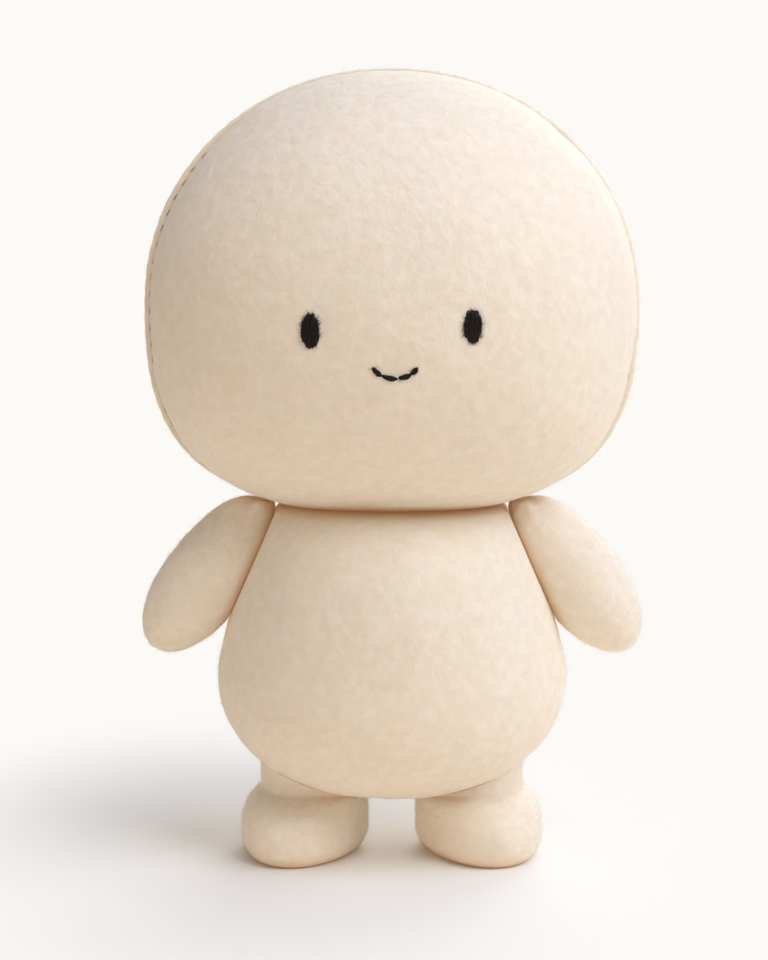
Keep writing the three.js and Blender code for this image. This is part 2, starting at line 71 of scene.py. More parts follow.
# The section of the head's sewn edge in mm: how far out of the seam, and how far off its plane.
RIM_OUT = np.array([0.0, 0.35, 0.85, 1.35, 1.72, 1.93, 1.98, 1.93, 1.80])
RIM_OFF = np.array([1.35, 1.30, 1.28, 1.26, 1.14, 0.90, 0.60, 0.30, 0.04])
# How deep each ring of a turned-in edge lies, as a share of the depth that is named first, and how
# far from the seam it starts, on the unit ball.
TURNED_DEPTH = 1.0 * MM
TURNED_IN = np.array([0.32, 0.62, 1.0])
TURNED_REACH = 0.05

Points = np.ndarray
Pair = tuple[float, float]
Triple = tuple[float, float, float]
Field = Callable[[Points], Points]
Spot = Callable[[float, float, float], Vector]
Piece = bpy.types.Object
Mesh = bpy.types.Mesh
Material = bpy.types.Material
Tree = bpy.types.NodeTree
Node = bpy.types.Node
Socket = bpy.types.NodeSocket
log = logging.getLogger("felt_doll")


class Body(Enum):
    """The moving bodies of the doll."""

    TORSO = "torso"
    HEAD = "head"
    LEFT_ARM = "left_arm"
    RIGHT_ARM = "right_arm"


class Side(Enum):
    """The doll's two sides: its left is +X."""

    LEFT = 1
    RIGHT = -1

    @property
    def label(self) -> str:
        """The word that starts this side's piece names."""
        return self.name.lower()


class Slot(Enum):
    """The record's material slots."""

    FELT = "felt"
    STUFFING = "stuffing"
    THREAD = "thread"
    FIBREBOARD = "fibreboard"
    CARD = "card"
    STEEL = "steel"


# Shader nodes


def linear(colour: str) -> tuple[float, float, float, float]:
    """Turns an sRGB hex colour into linear RGBA.

    Args:
        colour: Six hex digits after a hash sign.

    Returns:
        The colour with an alpha of 1.
    """
    parts = [int(colour[i : i + 2], 16) / 255 for i in (1, 3, 5)]
    red, green, blue = (c / 12.92 if c <= 0.04045 else ((c + 0.055) / 1.055) ** 2.4 for c in parts)
    return red, green, blue, 1.0


def set_up(tree: Tree, node: Node, settings: dict[Any, Any]) -> Node:
    """Sets a node's properties and inputs.

    Args:
        tree: Its node tree.
        node: The node.
        settings: Values under the name of a property, or the name or number of an input. An input
            whose value is another node's socket is linked to it.

    Returns:
        The node.
    """
    for key, value in settings.items():
        if isinstance(value, Socket):
            tree.links.new(value, node.inputs[key])
        elif isinstance(key, str) and hasattr(node, key):
            setattr(node, key, value)
        else:
            node.inputs[key].default_value = value
    return node


def add_node(tree: Tree, kind: str, settings: dict[Any, Any]) -> Node:
    """Adds one shader node and sets it up."""
    return set_up(tree, tree.nodes.new(f"ShaderNode{kind}"), settings)


def fractal(
    tree: Tree, place: Socket, size: float, detail: float = 2.0, rough: float = 0.5, bent: float = 0.0
) -> Any:
    """The outputs of a noise texture.

    Args:
        tree: The node tree.
        place: Where it is read.
        size: How large its coarsest features are.
        detail: How many finer layers it has.
        rough: How strong they are.
        bent: How far it is distorted.

    Returns:
        The outputs, by name.
    """
    settings = {"Vector": place, "Scale": 1 / size, "Detail": detail, "Roughness": rough, "Distortion": bent}
    return add_node(tree, "TexNoise", settings).outputs


def compute(tree: Tree, operation: str, *inputs: Any, kind: str = "Math") -> Socket:
    """What an operation makes of its inputs: numbers, or vectors if the kind is VectorMath."""
    return add_node(tree, kind, {"operation": operation, **dict(enumerate(inputs))}).outputs[0]


def between(tree: Tree, share: Socket, low: Any, high: str) -> Socket:
    """A colour between two: hex colours, of which the low one may also be a socket."""
    start = low if isinstance(low, Socket) else linear(low)
    return add_node(tree, "Mix", {"data_type": "RGBA", 0: share, 6: start, 7: linear(high)}).outputs[2]


def ramp(tree: Tree, share: Socket, *stops: tuple[float, str]) -> Socket:
    """A colour along a row of stops.

    Args:
        tree: The node tree.
        share: Where along the row it is read.
        stops: The stops' places and hex colours, in order.

    Returns:
        The colour.
    """
    node = add_node(tree, "ValToRGB", {"Fac": share})
    elements = node.color_ramp.elements
    for element, (place, colour) in zip(elements, (stops[0], stops[-1])):
        element.position, element.color = place, linear(colour)
    for place, colour in stops[1:-1]:
        elements.new(place).color = linear(colour)
    return node.outputs["Color"]


def bump(tree: Tree, height: Socket, depth: float, strength: float = 1.0) -> Socket:
    """The normal of a surface that is uneven by a height."""
    settings = {"Strength": strength, "Distance": depth, "Height": height}
    return add_node(tree, "Bump", settings).outputs["Normal"]


def new_material(name: str) -> tuple[Material, Tree, Node, Socket]:
    """Starts a material.

    Args:
        name: The material's name.

    Returns:
        The material, its node tree, its shader, and the object coordinates.
    """
    material = bpy.data.materials.new(name)
    material.use_nodes = True
    tree = material.node_tree
    shader = tree.nodes["Principled BSDF"]
    return material, tree, shader, add_node(tree, "TexCoord", {}).outputs["Object"]


@dataclass(frozen=True)
class WoolFelt:
    """Wet-felted wool with a short nap: matted fibres leave small curved furrows and a soft bloom.

    Light sinks a little way into the wool, and its loose fibres pale it. Its creases get a painted warm shade
    and a painted glow, where ambient occlusion finds them closed in.
    """

    name: str = "wool_felt"
    colour: str = "#F1E6D6"
    pale: str = "#F4EADD"
    shade: str = "#EFE3D2"
    # Painted shade: a darker, warmer colour mixed into the felt where it is closed in by creases.
    crease: str = "#DFC098"
    # Painted light: the creases glow in this colour, though no lamp lights them, standing in for light
    # scattered into them.
    glow: str = "#473322"
    bloom: str = "#FFFAF2"
    tone_stops: Triple = (0.54, 0.75, 0.96)
    furrow_long: float = 3.6 * MM
    furrow_wide: float = 2.0 * MM
    furrow_turns: tuple[Triple, ...] = ((0.35, 0.2, 0.0), (-0.5, 0.9, 0.3))
    furrow_depth: float = 0.21 * MM
    bump_size: float = 3.0 * MM
    bump_share: float = 0.7
    clump: float = 9 * MM
    clump_bend: float = 1.2
    mottle: float = 5 * MM
    mottle_share: float = 0.5
    fibre: float = 0.6 * MM
    fibre_share: float = 0.04
    roughness: float = 0.66
    sinks_in: float = 1.2 * MM
    # How closed in ambient occlusion finds the felt, which sets how much painted crease shade and painted
    # glow it gets.
    closed_within: float = 5 * MM
    open_from: float = 0.66
    closed_at: float = 0.08
    glow_power: float = 3.0

    def build(self) -> Material:
        """Makes the material."""
        material, tree, shader, place = new_material(self.name)
        drift = fractal(tree, place, self.clump)["Color"]
        centred = compute(tree, "SUBTRACT", drift, (0.5,) * 3, kind="VectorMath")
        reach = (self.clump * self.clump_bend,) * 3
        bent = compute(tree, "MULTIPLY_ADD", centred, reach, place, kind="VectorMath")
        scale = (1 / self.furrow_wide, 1 / self.furrow_wide, 1 / self.furrow_long)
        furrows = []
        for turn in self.furrow_turns:
            stretched = add_node(tree, "Mapping", {"Rotation": turn, "Scale": scale, "Vector": bent})
            furrows.append(fractal(tree, stretched.outputs[0], 1.0, 1.0, 0.4, 0.4)["Fac"])
        furrow = compute(tree, "MINIMUM", *furrows)
        bumps = fractal(tree, place, self.bump_size, 1.5)["Fac"]
        uneven = compute(tree, "MULTIPLY_ADD", bumps, self.bump_share, furrow)
        nap = fractal(tree, bent, self.fibre, 2.0, 0.6, 1.2)["Fac"]
        relief = compute(tree, "MULTIPLY_ADD", nap, self.fibre_share, uneven)
        mottles = fractal(tree, bent, self.mottle)["Fac"]
        tone = compute(tree, "MULTIPLY_ADD", mottles, self.mottle_share, bumps)
        tones = ramp(tree, tone, *zip(self.tone_stops, (self.shade, self.colour, self.pale)))
        # Painted shade and painted light: ambient occlusion mixes the painted crease shade into the base
        # colour and makes the creases emit the glow colour.
        sky = add_node(tree, "AmbientOcclusion", {"samples": 6, "Distance": self.closed_within}).outputs["AO"]
        painted_shade_range = {"From Min": self.open_from, "From Max": self.closed_at, "Value": sky}
        painted_shade_share = add_node(tree, "MapRange", painted_shade_range).outputs[0]
        settings = {
            "Base Color": between(tree, painted_shade_share, tones, self.crease),
            "Normal": bump(tree, relief, self.furrow_depth),
            "Roughness": self.roughness,
            "Specular IOR Level": 0.5,
            "Emission Strength": compute(tree, "POWER", painted_shade_share, self.glow_power),
            "Emission Color": linear(self.glow),
            "Subsurface Weight": 0.45,
            "Subsurface Radius": (1.0, 0.55, 0.3),
            "Subsurface Scale": self.sinks_in,
            "Sheen Weight": 0.2,
            "Sheen Roughness": 0.55,
            "Sheen Tint": linear(self.bloom),
        }
        set_up(tree, shader, settings)
        return material


@dataclass(frozen=True)
class WoolFibre:
    """Single wool fibres that stand off the felt, thin and pale."""

    name: str = "loose_wool_fibre"
    colour: str = "#F6ECDC"
    tip: str = "#FBF5EA"
    roughness: float = 0.8
    wave: float = 7.2 * MM

    def build(self) -> Material:
        """Makes the material."""
        material, tree, shader, place = new_material(self.name)
        tones = between(tree, fractal(tree, place, self.wave)["Fac"], self.colour, self.tip)
        set_up(tree, shader, {"Base Color": tones, "Roughness": self.roughness, "Specular IOR Level": 0.2})
        return material


@dataclass(frozen=True)
class EmbroideryCotton:
    """Stranded embroidery cotton: a soft shine along fine twisted fibres, with lighter fibres of another tone
    at random, which on the black cotton are partly a painted highlight.
    """

    name: str
    colour: str
    light: str
    roughness: float
    fibre: float = 0.12 * MM

    def build(self) -> Material:
        """Makes the material."""
        material, tree, shader, place = new_material(self.name)
        fibres = fractal(tree, place, self.fibre, 3.0, bent=0.6)["Fac"]
        settings = {
            "Base Color": ramp(tree, fibres, (0.45, self.colour), (0.70, self.light)),
            "Normal": bump(tree, fibres, self.fibre / 2, 0.8),
            "Roughness": self.roughness,
            "Specular IOR Level": 0.2,
        }
        set_up(tree, shader, settings)
        return material


@dataclass(frozen=True)
class FibreFill:
    """Carded polyester filling: white, loose and clumped."""

    name: str = "polyester_filling"
    colour: str = "#EFECE4"
    pale: str = "#FBFAF6"
    clump: float = 3 * MM
    tuft_depth: float = 0.4 * MM

    def build(self) -> Material:
        """Makes the material."""
        material, tree, shader, place = new_material(self.name)
        tufts = fractal(tree, place, self.clump, 6.0, 0.7, 2.0)["Fac"]
        tones = between(tree, tufts, self.colour, self.pale)
        normal = bump(tree, tufts, self.tuft_depth)
        set_up(tree, shader, {"Base Color": tones, "Normal": normal, "Roughness": 1.0})
        return material


@dataclass(frozen=True)
class PressedBoard:
    """Hardboard or card: wood fibres pressed flat, with darker flecks."""

    name: str
    colour: str
    fleck: str
    fibre: float = 0.5 * MM
    fibre_depth: float = 0.05 * MM
    roughness: float = 0.75

    def build(self) -> Material:
        """Makes the material."""
        material, tree, shader, place = new_material(self.name)
        flecks = fractal(tree, place, self.fibre, 5.0, 0.65, 1.0)["Fac"]
        tones = ramp(tree, flecks, (0.35, self.fleck), (0.60, self.colour))
        normal = bump(tree, flecks, self.fibre_depth, 0.5)
        set_up(tree, shader, {"Base Color": tones, "Normal": normal, "Roughness": self.roughness})
        return material


@dataclass(frozen=True)
class ZincSteel:
    """Zinc-plated mild steel, pressed and drawn: a dull grey shine with fine scratches."""

    name: str = "zinc_plated_steel"
    colour: str = "#B9BCC0"
    dull: str = "#9A9DA2"
    scratch: float = 0.25 * MM
    smoothest: float = 0.28
    roughest: float = 0.45

    def build(self) -> Material:
        """Makes the material."""
        material, tree, shader, place = new_material(self.name)
        scratches = fractal(tree, place, self.scratch, 4.0)["Fac"]
        tones = between(tree, scratches, self.colour, self.dull)
        ends = {"To Min": self.smoothest, "To Max": self.roughest, "Value": scratches}
        rough = add_node(tree, "MapRange", ends).outputs[0]
        set_up(tree, shader, {"Base Color": tones, "Roughness": rough, "Metallic": 1.0})
        return material


@dataclass(frozen=True)
class PalePaper:
    """Matt studio paper, which turns into the plain background away from the doll."""

    name: str = "pale_studio_paper"
    colour: str = "#F1F0EF"
    bounce: str = "#FAEFDF"
    background: str = "#FCFAF6"
    middle: Pair = (-0.03, 0.01)
    reach: Pair = (0.15, 0.19)
    near: float = 0.35

    def build(self) -> Material:
        """Makes the material."""
        material, tree, shader, place = new_material(self.name)
        seen = add_node(tree, "LightPath", {}).outputs["Is Camera Ray"]
        tones = between(tree, seen, self.bounce, self.colour)
        set_up(tree, shader, {"Base Color": tones, "Roughness": 0.95, "Specular IOR Level": 0.1})
        across, deep = self.reach
        shift, scale = (-self.middle[0] / across, -self.middle[1] / deep, 0), (1 / across, 1 / deep, 1)
        oval = add_node(tree, "Mapping", {"Location": shift, "Scale": scale, "Vector": place})
        away = add_node(tree, "VectorMath", {"operation": "LENGTH", 0: oval.outputs[0]}).outputs["Value"]
        step = {"interpolation_type": "SMOOTHSTEP", "From Min": self.near, "From Max": 1.0, "Value": away}
        share = compute(tree, "MULTIPLY", add_node(tree, "MapRange", step).outputs[0], seen)
        glow = add_node(tree, "Emission", {"Color": linear(self.background), "Strength": 1.0}).outputs[0]
        mixed = add_node(tree, "MixShader", {0: share, 1: shader.outputs[0], 2: glow}).outputs[0]
        set_up(tree, tree.nodes["Material Output"], {"Surface": mixed})
        return material


class Finishes:
    """Every material of the doll, made once."""

    def __init__(self) -> None:
        """Makes the materials."""
        self.felt = WoolFelt().build()
        self.fibre = WoolFibre().build()
        # The black cotton's lighter fibres are partly a painted highlight that stands in for the thread's
        # shine.
        self.black = EmbroideryCotton("black_embroidery_cotton", "#040303", "#302D2E", 0.36).build()
        # The seam cotton's tan is partly its own colour and partly painted shade of the dents that its
        # stitches sink into.
        self.cream = EmbroideryCotton("cream_sewing_cotton", "#B39C7C", "#D2BF9F", 0.8).build()
        self.filling = FibreFill().build()
        self.board = PressedBoard("pressed_hardboard", "#8F6E4B", "#5E4530").build()
        self.card = PressedBoard("grey_brown_card", "#B89E77", "#957C58").build()
        self.steel = ZincSteel().build()
        self.paper = PalePaper().build()


# Forms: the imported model's curves, in numpy


def signed_power(value: Points, exponent: float) -> Points:
    """Raises the size of a value to a power and keeps its sign."""
    return np.sign(value) * np.abs(value) ** exponent


def swell(level: Points, exponent: float) -> Points:
    """The half width of a rounded outline at a level from -1 to 1."""
    return np.maximum(0.0, 1 - np.abs(level) ** exponent) ** (1 / exponent)


def girth(way: Points) -> Points:
    """How far each direction leads off the upright, and never quite nothing."""
    return np.maximum(np.hypot(way[:, 0], way[:, 1]), 1e-9)


def in_seam(turn: Points) -> Points:
    """Directions in the plane of the side seams."""
    return np.stack([np.cos(turn), 0 * turn, np.sin(turn)], 1)


def clamp(value: float) -> float:
    """The nearest number from 0 to 1."""
    return max(0.0, min(1.0, value))


def smooth(value: Points, low: float, high: float) -> Points:
    """A smooth step from 0 at low to 1 at high."""
    t = np.clip((value - low) / (high - low), 0, 1)
    return t * t * (3 - 2 * t)


def pressed(points: Points, origin: Points, outward: Points, inset: float, soft: float = TINY) -> Points:
    """Presses points flat on a plane that they would pass.

    Args:
        points: The points, one a row.
        origin: A point of the plane.
        outward: The plane's normal.
        inset: How far inside the plane they stop.
        soft: How far from the plane the skin starts to round over.

    Returns:
        The pressed points.
    """
    height = (points - origin) @ outward + max(0.0, inset)
    past = np.where(np.abs(height) < soft, (height + soft) ** 2 / (4 * soft), np.maximum(0, height))
    return points - past[:, None] * outward


def flatness(points: Points, origin: Points, outward: Points, fade: float) -> Points:
    """How far each point is off a plane: 0 on it, and 1 from `fade` away."""
    return smooth(-((points - origin) @ outward), 0.2 * MM, fade)


def held(free: Field, near: Points, hold: float = 0.7) -> Field:
    """A form's freedom, less where a seam holds the felt, which `near` says."""
    return lambda points: free(points) * (1 - hold * near)


@dataclass
class TorsoForm:
    """The body: rounded below, tapered to the shoulders, with flats for the neck and both arms."""

    underside: float = 18.4 * MM
    drop: float = 39 * MM
    rise: float = 51.6 * MM
    half_width: float = 53.3 * MM
    half_depth: float = 44.5 * MM
    taper: float = 0.28
    taper_power: float = 1.25
    top_power: float = 9.0
    bottom_power: float = 2.25
    depth_power: float = 3.2
    neck_flat: float = 1 * MM
    shoulder_below_neck: float = 11.2 * MM
    shoulder_flat: float = 2.5 * MM
    corner_power: float = 14.0
    soft: float = 0.15 * MM
    fade: float = 3 * MM

    def __post_init__(self) -> None:
        """Works out the neck's level and the shoulder's seat."""
        self.centre = self.underside + self.drop
        self.neck = self.centre + self.rise - self.neck_flat + RUNNING_GAP / 2
        level = (self.rise - self.neck_flat - self.shoulder_below_neck) / self.rise
        step = 0.01
        below, above = (self.widths(np.array([level + s]), 0, self.top_power)[0] for s in (-step, step))
        slope = (below - above) / (2 * step * self.rise)
        self.away = np.array([1, 0, slope]) / math.hypot(1, slope)
        half = self.widths(np.array([level]), 0, self.top_power)[0]
        on_body = np.array([half, 0, self.centre + level * self.rise])
        self.seat = on_body - self.away * self.shoulder_flat

    def widths(self, level: Points, inset: float, top_power: float) -> Points:
        """The half width of the body seen from the front.

        Args:
            level: How high, from -1 at the bottom to 1 at the top.
            inset: How far inside the skin.
            top_power: How square the shoulders are.

        Returns:
            The half width at each level.
        """
        upper = np.maximum(level, 0)
        widest = self.half_width * (1 - self.taper * upper**self.taper_power)
        high, low = swell(level, top_power), swell(level, self.bottom_power)
        return np.where(level < 0, (self.half_width - inset) * low, (widest - inset) * high)

    def place(self, way: Points, inset: float = 0.0) -> Points:
        """Puts directions of a unit ball on the body.

        Args:
            way: Unit vectors, one a row.
            inset: How far inside the skin the points lie.

        Returns:
            The points.
        """
        level = way[:, 2]
        round_ = girth(way)
        depth = (self.half_depth - inset) * np.where(
            level < 0, swell(level, self.bottom_power), swell(level, self.depth_power)
        )
        height = np.where(level > 0, self.rise, self.drop) - inset
        x = self.widths(level, inset, self.corner_power) * way[:, 0] / round_
        points = np.stack([x, depth * way[:, 1] / round_, self.centre + level * height], 1)
        points = pressed(points, self.seat, self.away, inset, self.soft)
        points = pressed(points, self.seat * MIRROR, self.away * MIRROR, inset, self.soft)
        return pressed(points, UP * (self.neck - FELT_GAP / 2), UP, inset, self.soft)

    def freedom(self, points: Points) -> Points:
        """How free each point is to swell or dent: 0 where another piece bears on it."""
        free = flatness(points, UP * (self.neck - RUNNING_GAP / 2), UP, self.fade)
        free = free * flatness(points, self.seat, self.away, self.fade)
        return free * flatness(points, self.seat * MIRROR, self.away * MIRROR, self.fade)

    def underside_at(self, x: Points, y: Points) -> Points:
        """The height of the body's lower skin over a spot of the floor."""
        share = np.clip(np.hypot(x / self.half_width, y / self.half_depth), 0, 1)
        return self.centre - self.drop * swell(share, self.bottom_power)


@dataclass
class HeadForm:
    """The head: wide, with rounded corners, flat under the neck, and a raised sewn edge."""

    neck: float
    rise: float = 69 * MM
    drop: float = 62.1 * MM
    half_width: float = 72.3 * MM
    half_depth: float = 56 * MM
    top_power: float = 2.06
    bottom_power: float = 2.7
    depth_power: float = 2.0
    section_power: float = 2.15
    neck_flat: float = 2.2 * MM
    rim_thickness: float = 1.2 * MM
    fade: float = 3 * MM
    turning_room: float = 2 * MM

    def __post_init__(self) -> None:
        """Works out the head's middle."""
        self.centre = self.neck + RUNNING_GAP / 2 - self.neck_flat + self.drop

    def place(self, way: Points, inset: float = 0.0) -> Points:
        """Puts directions of a unit ball on the head.

        Args:
            way: Unit vectors, one a row.
            inset: How far inside the skin the points lie.

        Returns:
            The points.
        """
        level = way[:, 2]
        round_ = girth(way)
        outline = np.where(level > 0, swell(level, self.top_power), swell(level, self.bottom_power))
        height = np.where(level > 0, self.rise, self.drop) - inset
        side = signed_power(way[:, 0] / round_, 2 / self.section_power)
        front = signed_power(way[:, 1] / round_, 2 / self.section_power)
        x = (self.half_width - inset) * outline * side
        y = (self.half_depth - inset) * swell(level, self.depth_power) * front
        points = np.stack([x, y, self.centre + level * height], 1)
        return pressed(points, UP * (self.neck + FELT_GAP / 2), -UP, inset)

    def freedom(self, points: Points) -> Points:
        """How free each point is to swell or dent: 0 where the body bears on it."""
        return flatness(points, UP * (self.neck + RUNNING_GAP / 2), -UP, self.fade)

    def underside_at(self, distance: Points) -> Points:
        """The lowest that the turning head comes at a distance from its axis."""
        reach = self.half_width + self.turning_room
        return self.centre - self.drop * swell(np.minimum(1, distance / reach), self.bottom_power)


@dataclass
class ArmForm:
    """The left arm: it swells from the shoulder to the hand and leans out from the body's side."""

    torso: TorsoForm
    head: HeadForm
    length: float = 56.4 * MM
    shoulder_radius: float = 12 * MM
    hand_radius: float = 14.3 * MM
    shoulder_power: float = 2.5
    hand_power: float = 1.95
    lean_deg: float = 14.0
    off_body: float = 3.5 * MM
    under_head: float = 1.0 * MM
    tucked_gap: float = 0.5 * MM
    tucked_most: float = 4 * MM
    tucked_above: Pair = (4 * MM, 11 * MM)
    tucked_within: Pair = (4 * MM, 9 * MM)
    soft: float = 0.2 * MM
    fade: float = 2.5 * MM

    def __post_init__(self) -> None:
        """Finds where the arm lies: as high on its seat as the turning head leaves room for."""
        away = self.torso.away
        down = np.array([away[2], 0, -away[0]])
        lean = math.radians(self.lean_deg)
        self.along = down * math.cos(lean) + away * math.sin(lean)
        self.out = np.array([-self.along[2], 0, self.along[0]])
        self.start = self.torso.seat + away * (RUNNING_GAP + self.off_body)
        samples = 24
        turns = np.arange(samples * samples)
        level = np.sin(np.pi * (turns // samples / samples - 0.5))
        angle = 2 * np.pi * turns / samples
        way = np.stack([np.cos(angle), np.sin(angle), level], 1)
        for _ in range(4):
            points = self.round_form(way, 0)
            head = self.head.underside_at(np.hypot(points[:, 0], points[:, 1]))
            self.start = self.start + down * np.max(points[:, 2] + self.under_head - head) / -down[2]

    def round_form(self, way: Points, inset: float) -> Points:
        """The arm before it is pressed on its seat.

        Args:
            way: Directions, whose first two columns are on a unit circle.
            inset: How far inside the skin the points lie.

        Returns:
            The points.
        """
        level = way[:, 2]
        radius = self.shoulder_radius + (self.hand_radius - self.shoulder_radius) * (level + 1) / 2 - inset
        outline = np.where(level < 0, swell(level, self.shoulder_power), swell(level, self.hand_power))
        round_ = (radius * outline)[:, None]
        climb = (self.length / 2 + level * (self.length / 2 - inset))[:, None]
        front = np.array([0, -1, 0])
        return self.start + round_ * (way[:, :1] * self.out + way[:, 1:2] * front) + climb * self.along

    def place(self, way: Points, inset: float = 0.0) -> Points:
        """Puts directions of a unit ball on the arm.

        Args:
            way: Unit vectors, one a row, with +Z along the arm.
            inset: How far inside the skin the points lie.

        Returns:
            The points.
        """
        round_ = girth(way)[:, None]
        points = self.round_form(np.concatenate([way[:, :2] / round_, way[:, 2:]], 1), inset)
        points = self.tucked(points)
        seat = self.torso.seat + self.torso.away * FELT_GAP
        return pressed(points, seat, -self.torso.away, inset, self.soft)

    def tucked(self, points: Points) -> Points:
        """Draws the arm's inner top up into the corner between the head and the body.

        Args:
            points: Points of the arm.

        Returns:
            The points, moved up where there is room.
        """
        away = self.torso.away
        up = np.array([-away[2], 0, away[0]])
        off = points - self.torso.seat
        share = smooth(off @ up, *self.tucked_above) * (1 - smooth(off @ away, *self.tucked_within))
        head = self.head.underside_at(np.hypot(points[:, 0], points[:, 1]))
        room = np.clip(head - self.tucked_gap - points[:, 2], 0, self.tucked_most)
        return points + (share * room)[:, None] * UP

    def freedom(self, points: Points) -> Points:
        """How free each point is to swell or dent: 0 on the shoulder's seat."""
        return flatness(points, self.torso.seat + self.torso.away * RUNNING_GAP, -self.torso.away, self.fade)


@dataclass
class LegForm:
    """The left leg with its foot, whose toes turn out."""

    torso: TorsoForm
    spread: float = 23.9 * MM
    radius: float = 16.5 * MM
    set_back: float = 4 * MM
    toe: float = 30 * MM
    heel: float = 17.5 * MM
    half_width: float = 19 * MM
    height: float = 19 * MM
    widest: float = 8 * MM
    outward: float = 2.4 * MM
    edge: float = 4.2 * MM
    off_floor: float = 0.25 * MM
    turned_deg: float = 15.0
    foot_share: float = 0.75
    toe_crease: float = 0.03
    inner_blend: float = 0.16
    blended_round: Pair = (-0.1, 0.8)
    blended_up: Pair = (0.3, 0.6)
    blended_top: float = 0.15
    blend_steps: int = 7
    free_below: Pair = (0.2 * MM, 3 * MM)
    free_above: Pair = (0.5 * MM, 3 * MM)
    wooly_below: Pair = (0.5 * MM, 2 * MM)
    wooly_above: Pair = (1.2 * MM, 3 * MM)

    def framed(self, x: Points, y: Points, z: Points) -> Points:
        """Turns the foot's own coordinates into the doll's.

        Args:
            x: How far towards the toe.
            y: How far to the foot's outer side.
            z: The height.

        Returns:
            The points, one a row.
        """
        turn = math.radians(self.turned_deg - 90)
        across = self.spread + x * math.cos(turn) - y * math.sin(turn)
        back = self.set_back + x * math.sin(turn) + y * math.cos(turn)
        return np.stack([across, back, z], 1)

    def place(self, climb: Points, angle: Points, inset: float = 0.0) -> Points:
        """A point of the leg's skin: creased above the toe, and blended on the inner side.

        Args:
            climb: From 0 at the sole to 1 where the leg meets the body.
            angle: Round the leg, from the toe.
            inset: How far inside the skin the points lie.

        Returns:
            The points.
        """
        inner = smooth(-np.sin(angle), *self.blended_round)
        spread = self.toe_crease + (self.inner_blend - self.toe_crease) * inner
        spread = spread * smooth(climb, *self.blended_up) * smooth(1 - climb, 0, self.blended_top)
        steps = np.linspace(-1, 1, self.blend_steps)
        return sum(self.creased(np.clip(climb + s * spread, 0, 1), angle, inset) for s in steps) / len(steps)

    def creased(self, climb: Points, angle: Points, inset: float) -> Points:
        """A point of the skin with the same crease all round the ankle.

        Args:
            climb: From 0 at the sole to 1 where the leg meets the body.
            angle: Round the leg, from the toe.
            inset: How far inside the skin the points lie.

        Returns:
            The points.
        """
        turn = np.pi * (np.minimum(climb, self.foot_share) / self.foot_share - 0.5)
        rise = np.sin(turn)
        low, high = self.widest - self.off_floor, self.height - inset - self.widest
        z = self.widest + np.where(rise > 0, high * rise, low * rise)
        grown = np.where(rise > 0, np.cos(turn), 1.0)
        tucked = np.where(rise > 0, 0.0, self.edge * (1 - np.cos(turn)))
        toe, heel, half = (
            self.radius + (size - self.radius) * grown - inset - tucked
            for size in (self.toe, self.heel, self.half_width)
        )
        x = np.where(np.cos(angle) > 0, toe, heel) * np.cos(angle)
        foot = self.framed(x, half * np.sin(angle) + self.outward * grown, z)
        tube = (self.radius - inset) * np.stack([np.cos(angle), np.sin(angle)], 1)
        shaft = self.framed(tube[:, 0], tube[:, 1], z)
        share = np.clip((climb - self.foot_share) / (1 - self.foot_share), 0, 1)
        top = self.torso.underside_at(shaft[:, 0], shaft[:, 1]) - SEWN_GAP
        shaft[:, 2] = (self.height - inset) + share * (top - (self.height - inset))
        return np.where((climb > self.foot_share)[:, None], shaft, foot)

    def clear(self, points: Points, top: Pair, sole: Pair) -> Points:
        """How clear each point is of the leg's top and of its sole.

        Args:
            points: The points.
            top: Below the top, where that starts and where it is whole.
            sole: The same above the floor.

        Returns:
            A share from 0 to 1 at each point.
        """
        below = self.torso.underside_at(points[:, 0], points[:, 1]) - points[:, 2]
        return smooth(below, *top) * smooth(points[:, 2], *sole)

    def freedom(self, points: Points) -> Points:
        """How free each point is to swell or dent: 0 at the leg's top and at the sole's edge."""
        return self.clear(points, self.free_below, self.free_above)

    def wooly(self, points: Points) -> Points:
        """Where fibres may stand off the leg."""
        return self.clear(points, self.wooly_below, self.wooly_above)


# Mesh building


def half_ball(segments: int, rings: int, keep: int) -> bmesh.types.BMesh:
    """Half of a unit ball with even faces, cut at Y = 0, whose edge is drawn out in flat rings.

    Args:
        segments: Faces along a side of the cube that it starts from, an even number.
        rings: How many rings follow the cut edge.
        keep: Which half stays: -1 for the front, 1 for the back.

    Returns:
        The mesh. A ring's number is its distance past Y = 0 in units of RING_STEP.
    """
    bm = bmesh.new()
    bmesh.ops.create_cube(bm, size=2)
    bmesh.ops.subdivide_edges(bm, edges=bm.edges[:], cuts=segments - 1, use_grid_fill=True)
    other = [f for f in bm.faces if f.calc_center_median().y * keep < 0]
    bmesh.ops.delete(bm, geom=other, context="FACES")
    for v in bm.verts:
        v.co = Vector([math.tan(c * math.pi / 4) for c in v.co]).normalized()
        if abs(v.co.y) < TINY:
            v.co.y = 0
    for _ in range(rings):
        edge = [e for e in bm.edges if e.is_boundary]
        grown = bmesh.ops.extrude_edge_only(bm, edges=edge)
        new = [g for g in grown["geom"] if isinstance(g, bmesh.types.BMVert)]
        bmesh.ops.translate(bm, verts=new, vec=(0, -keep * RING_STEP, 0))
    bmesh.ops.recalc_face_normals(bm, faces=bm.faces[:])
    return bm


def rings_and_ways(ball: Points, keep: int) -> tuple[Points, Points]:
    """Reads a half ball's rings and directions back from its points.

    Args:
        ball: The points.
        keep: Which half it is: -1 for the front, 1 for the back.

    Returns:
        The ring that each point is in, 0 for the ball itself, and its direction.
    """
    ring = np.round(np.maximum(0, -keep * ball[:, 1]) / RING_STEP).astype(int)
    way = ball.copy()
    way[ring > 0, 1] = 0
    return ring, way / np.linalg.norm(way, axis=1)[:, None]


def climb_of(edge: bmesh.types.BMEdge) -> float:
    """How far an edge climbs."""
    return abs(edge.verts[0].co.z - edge.verts[1].co.z)


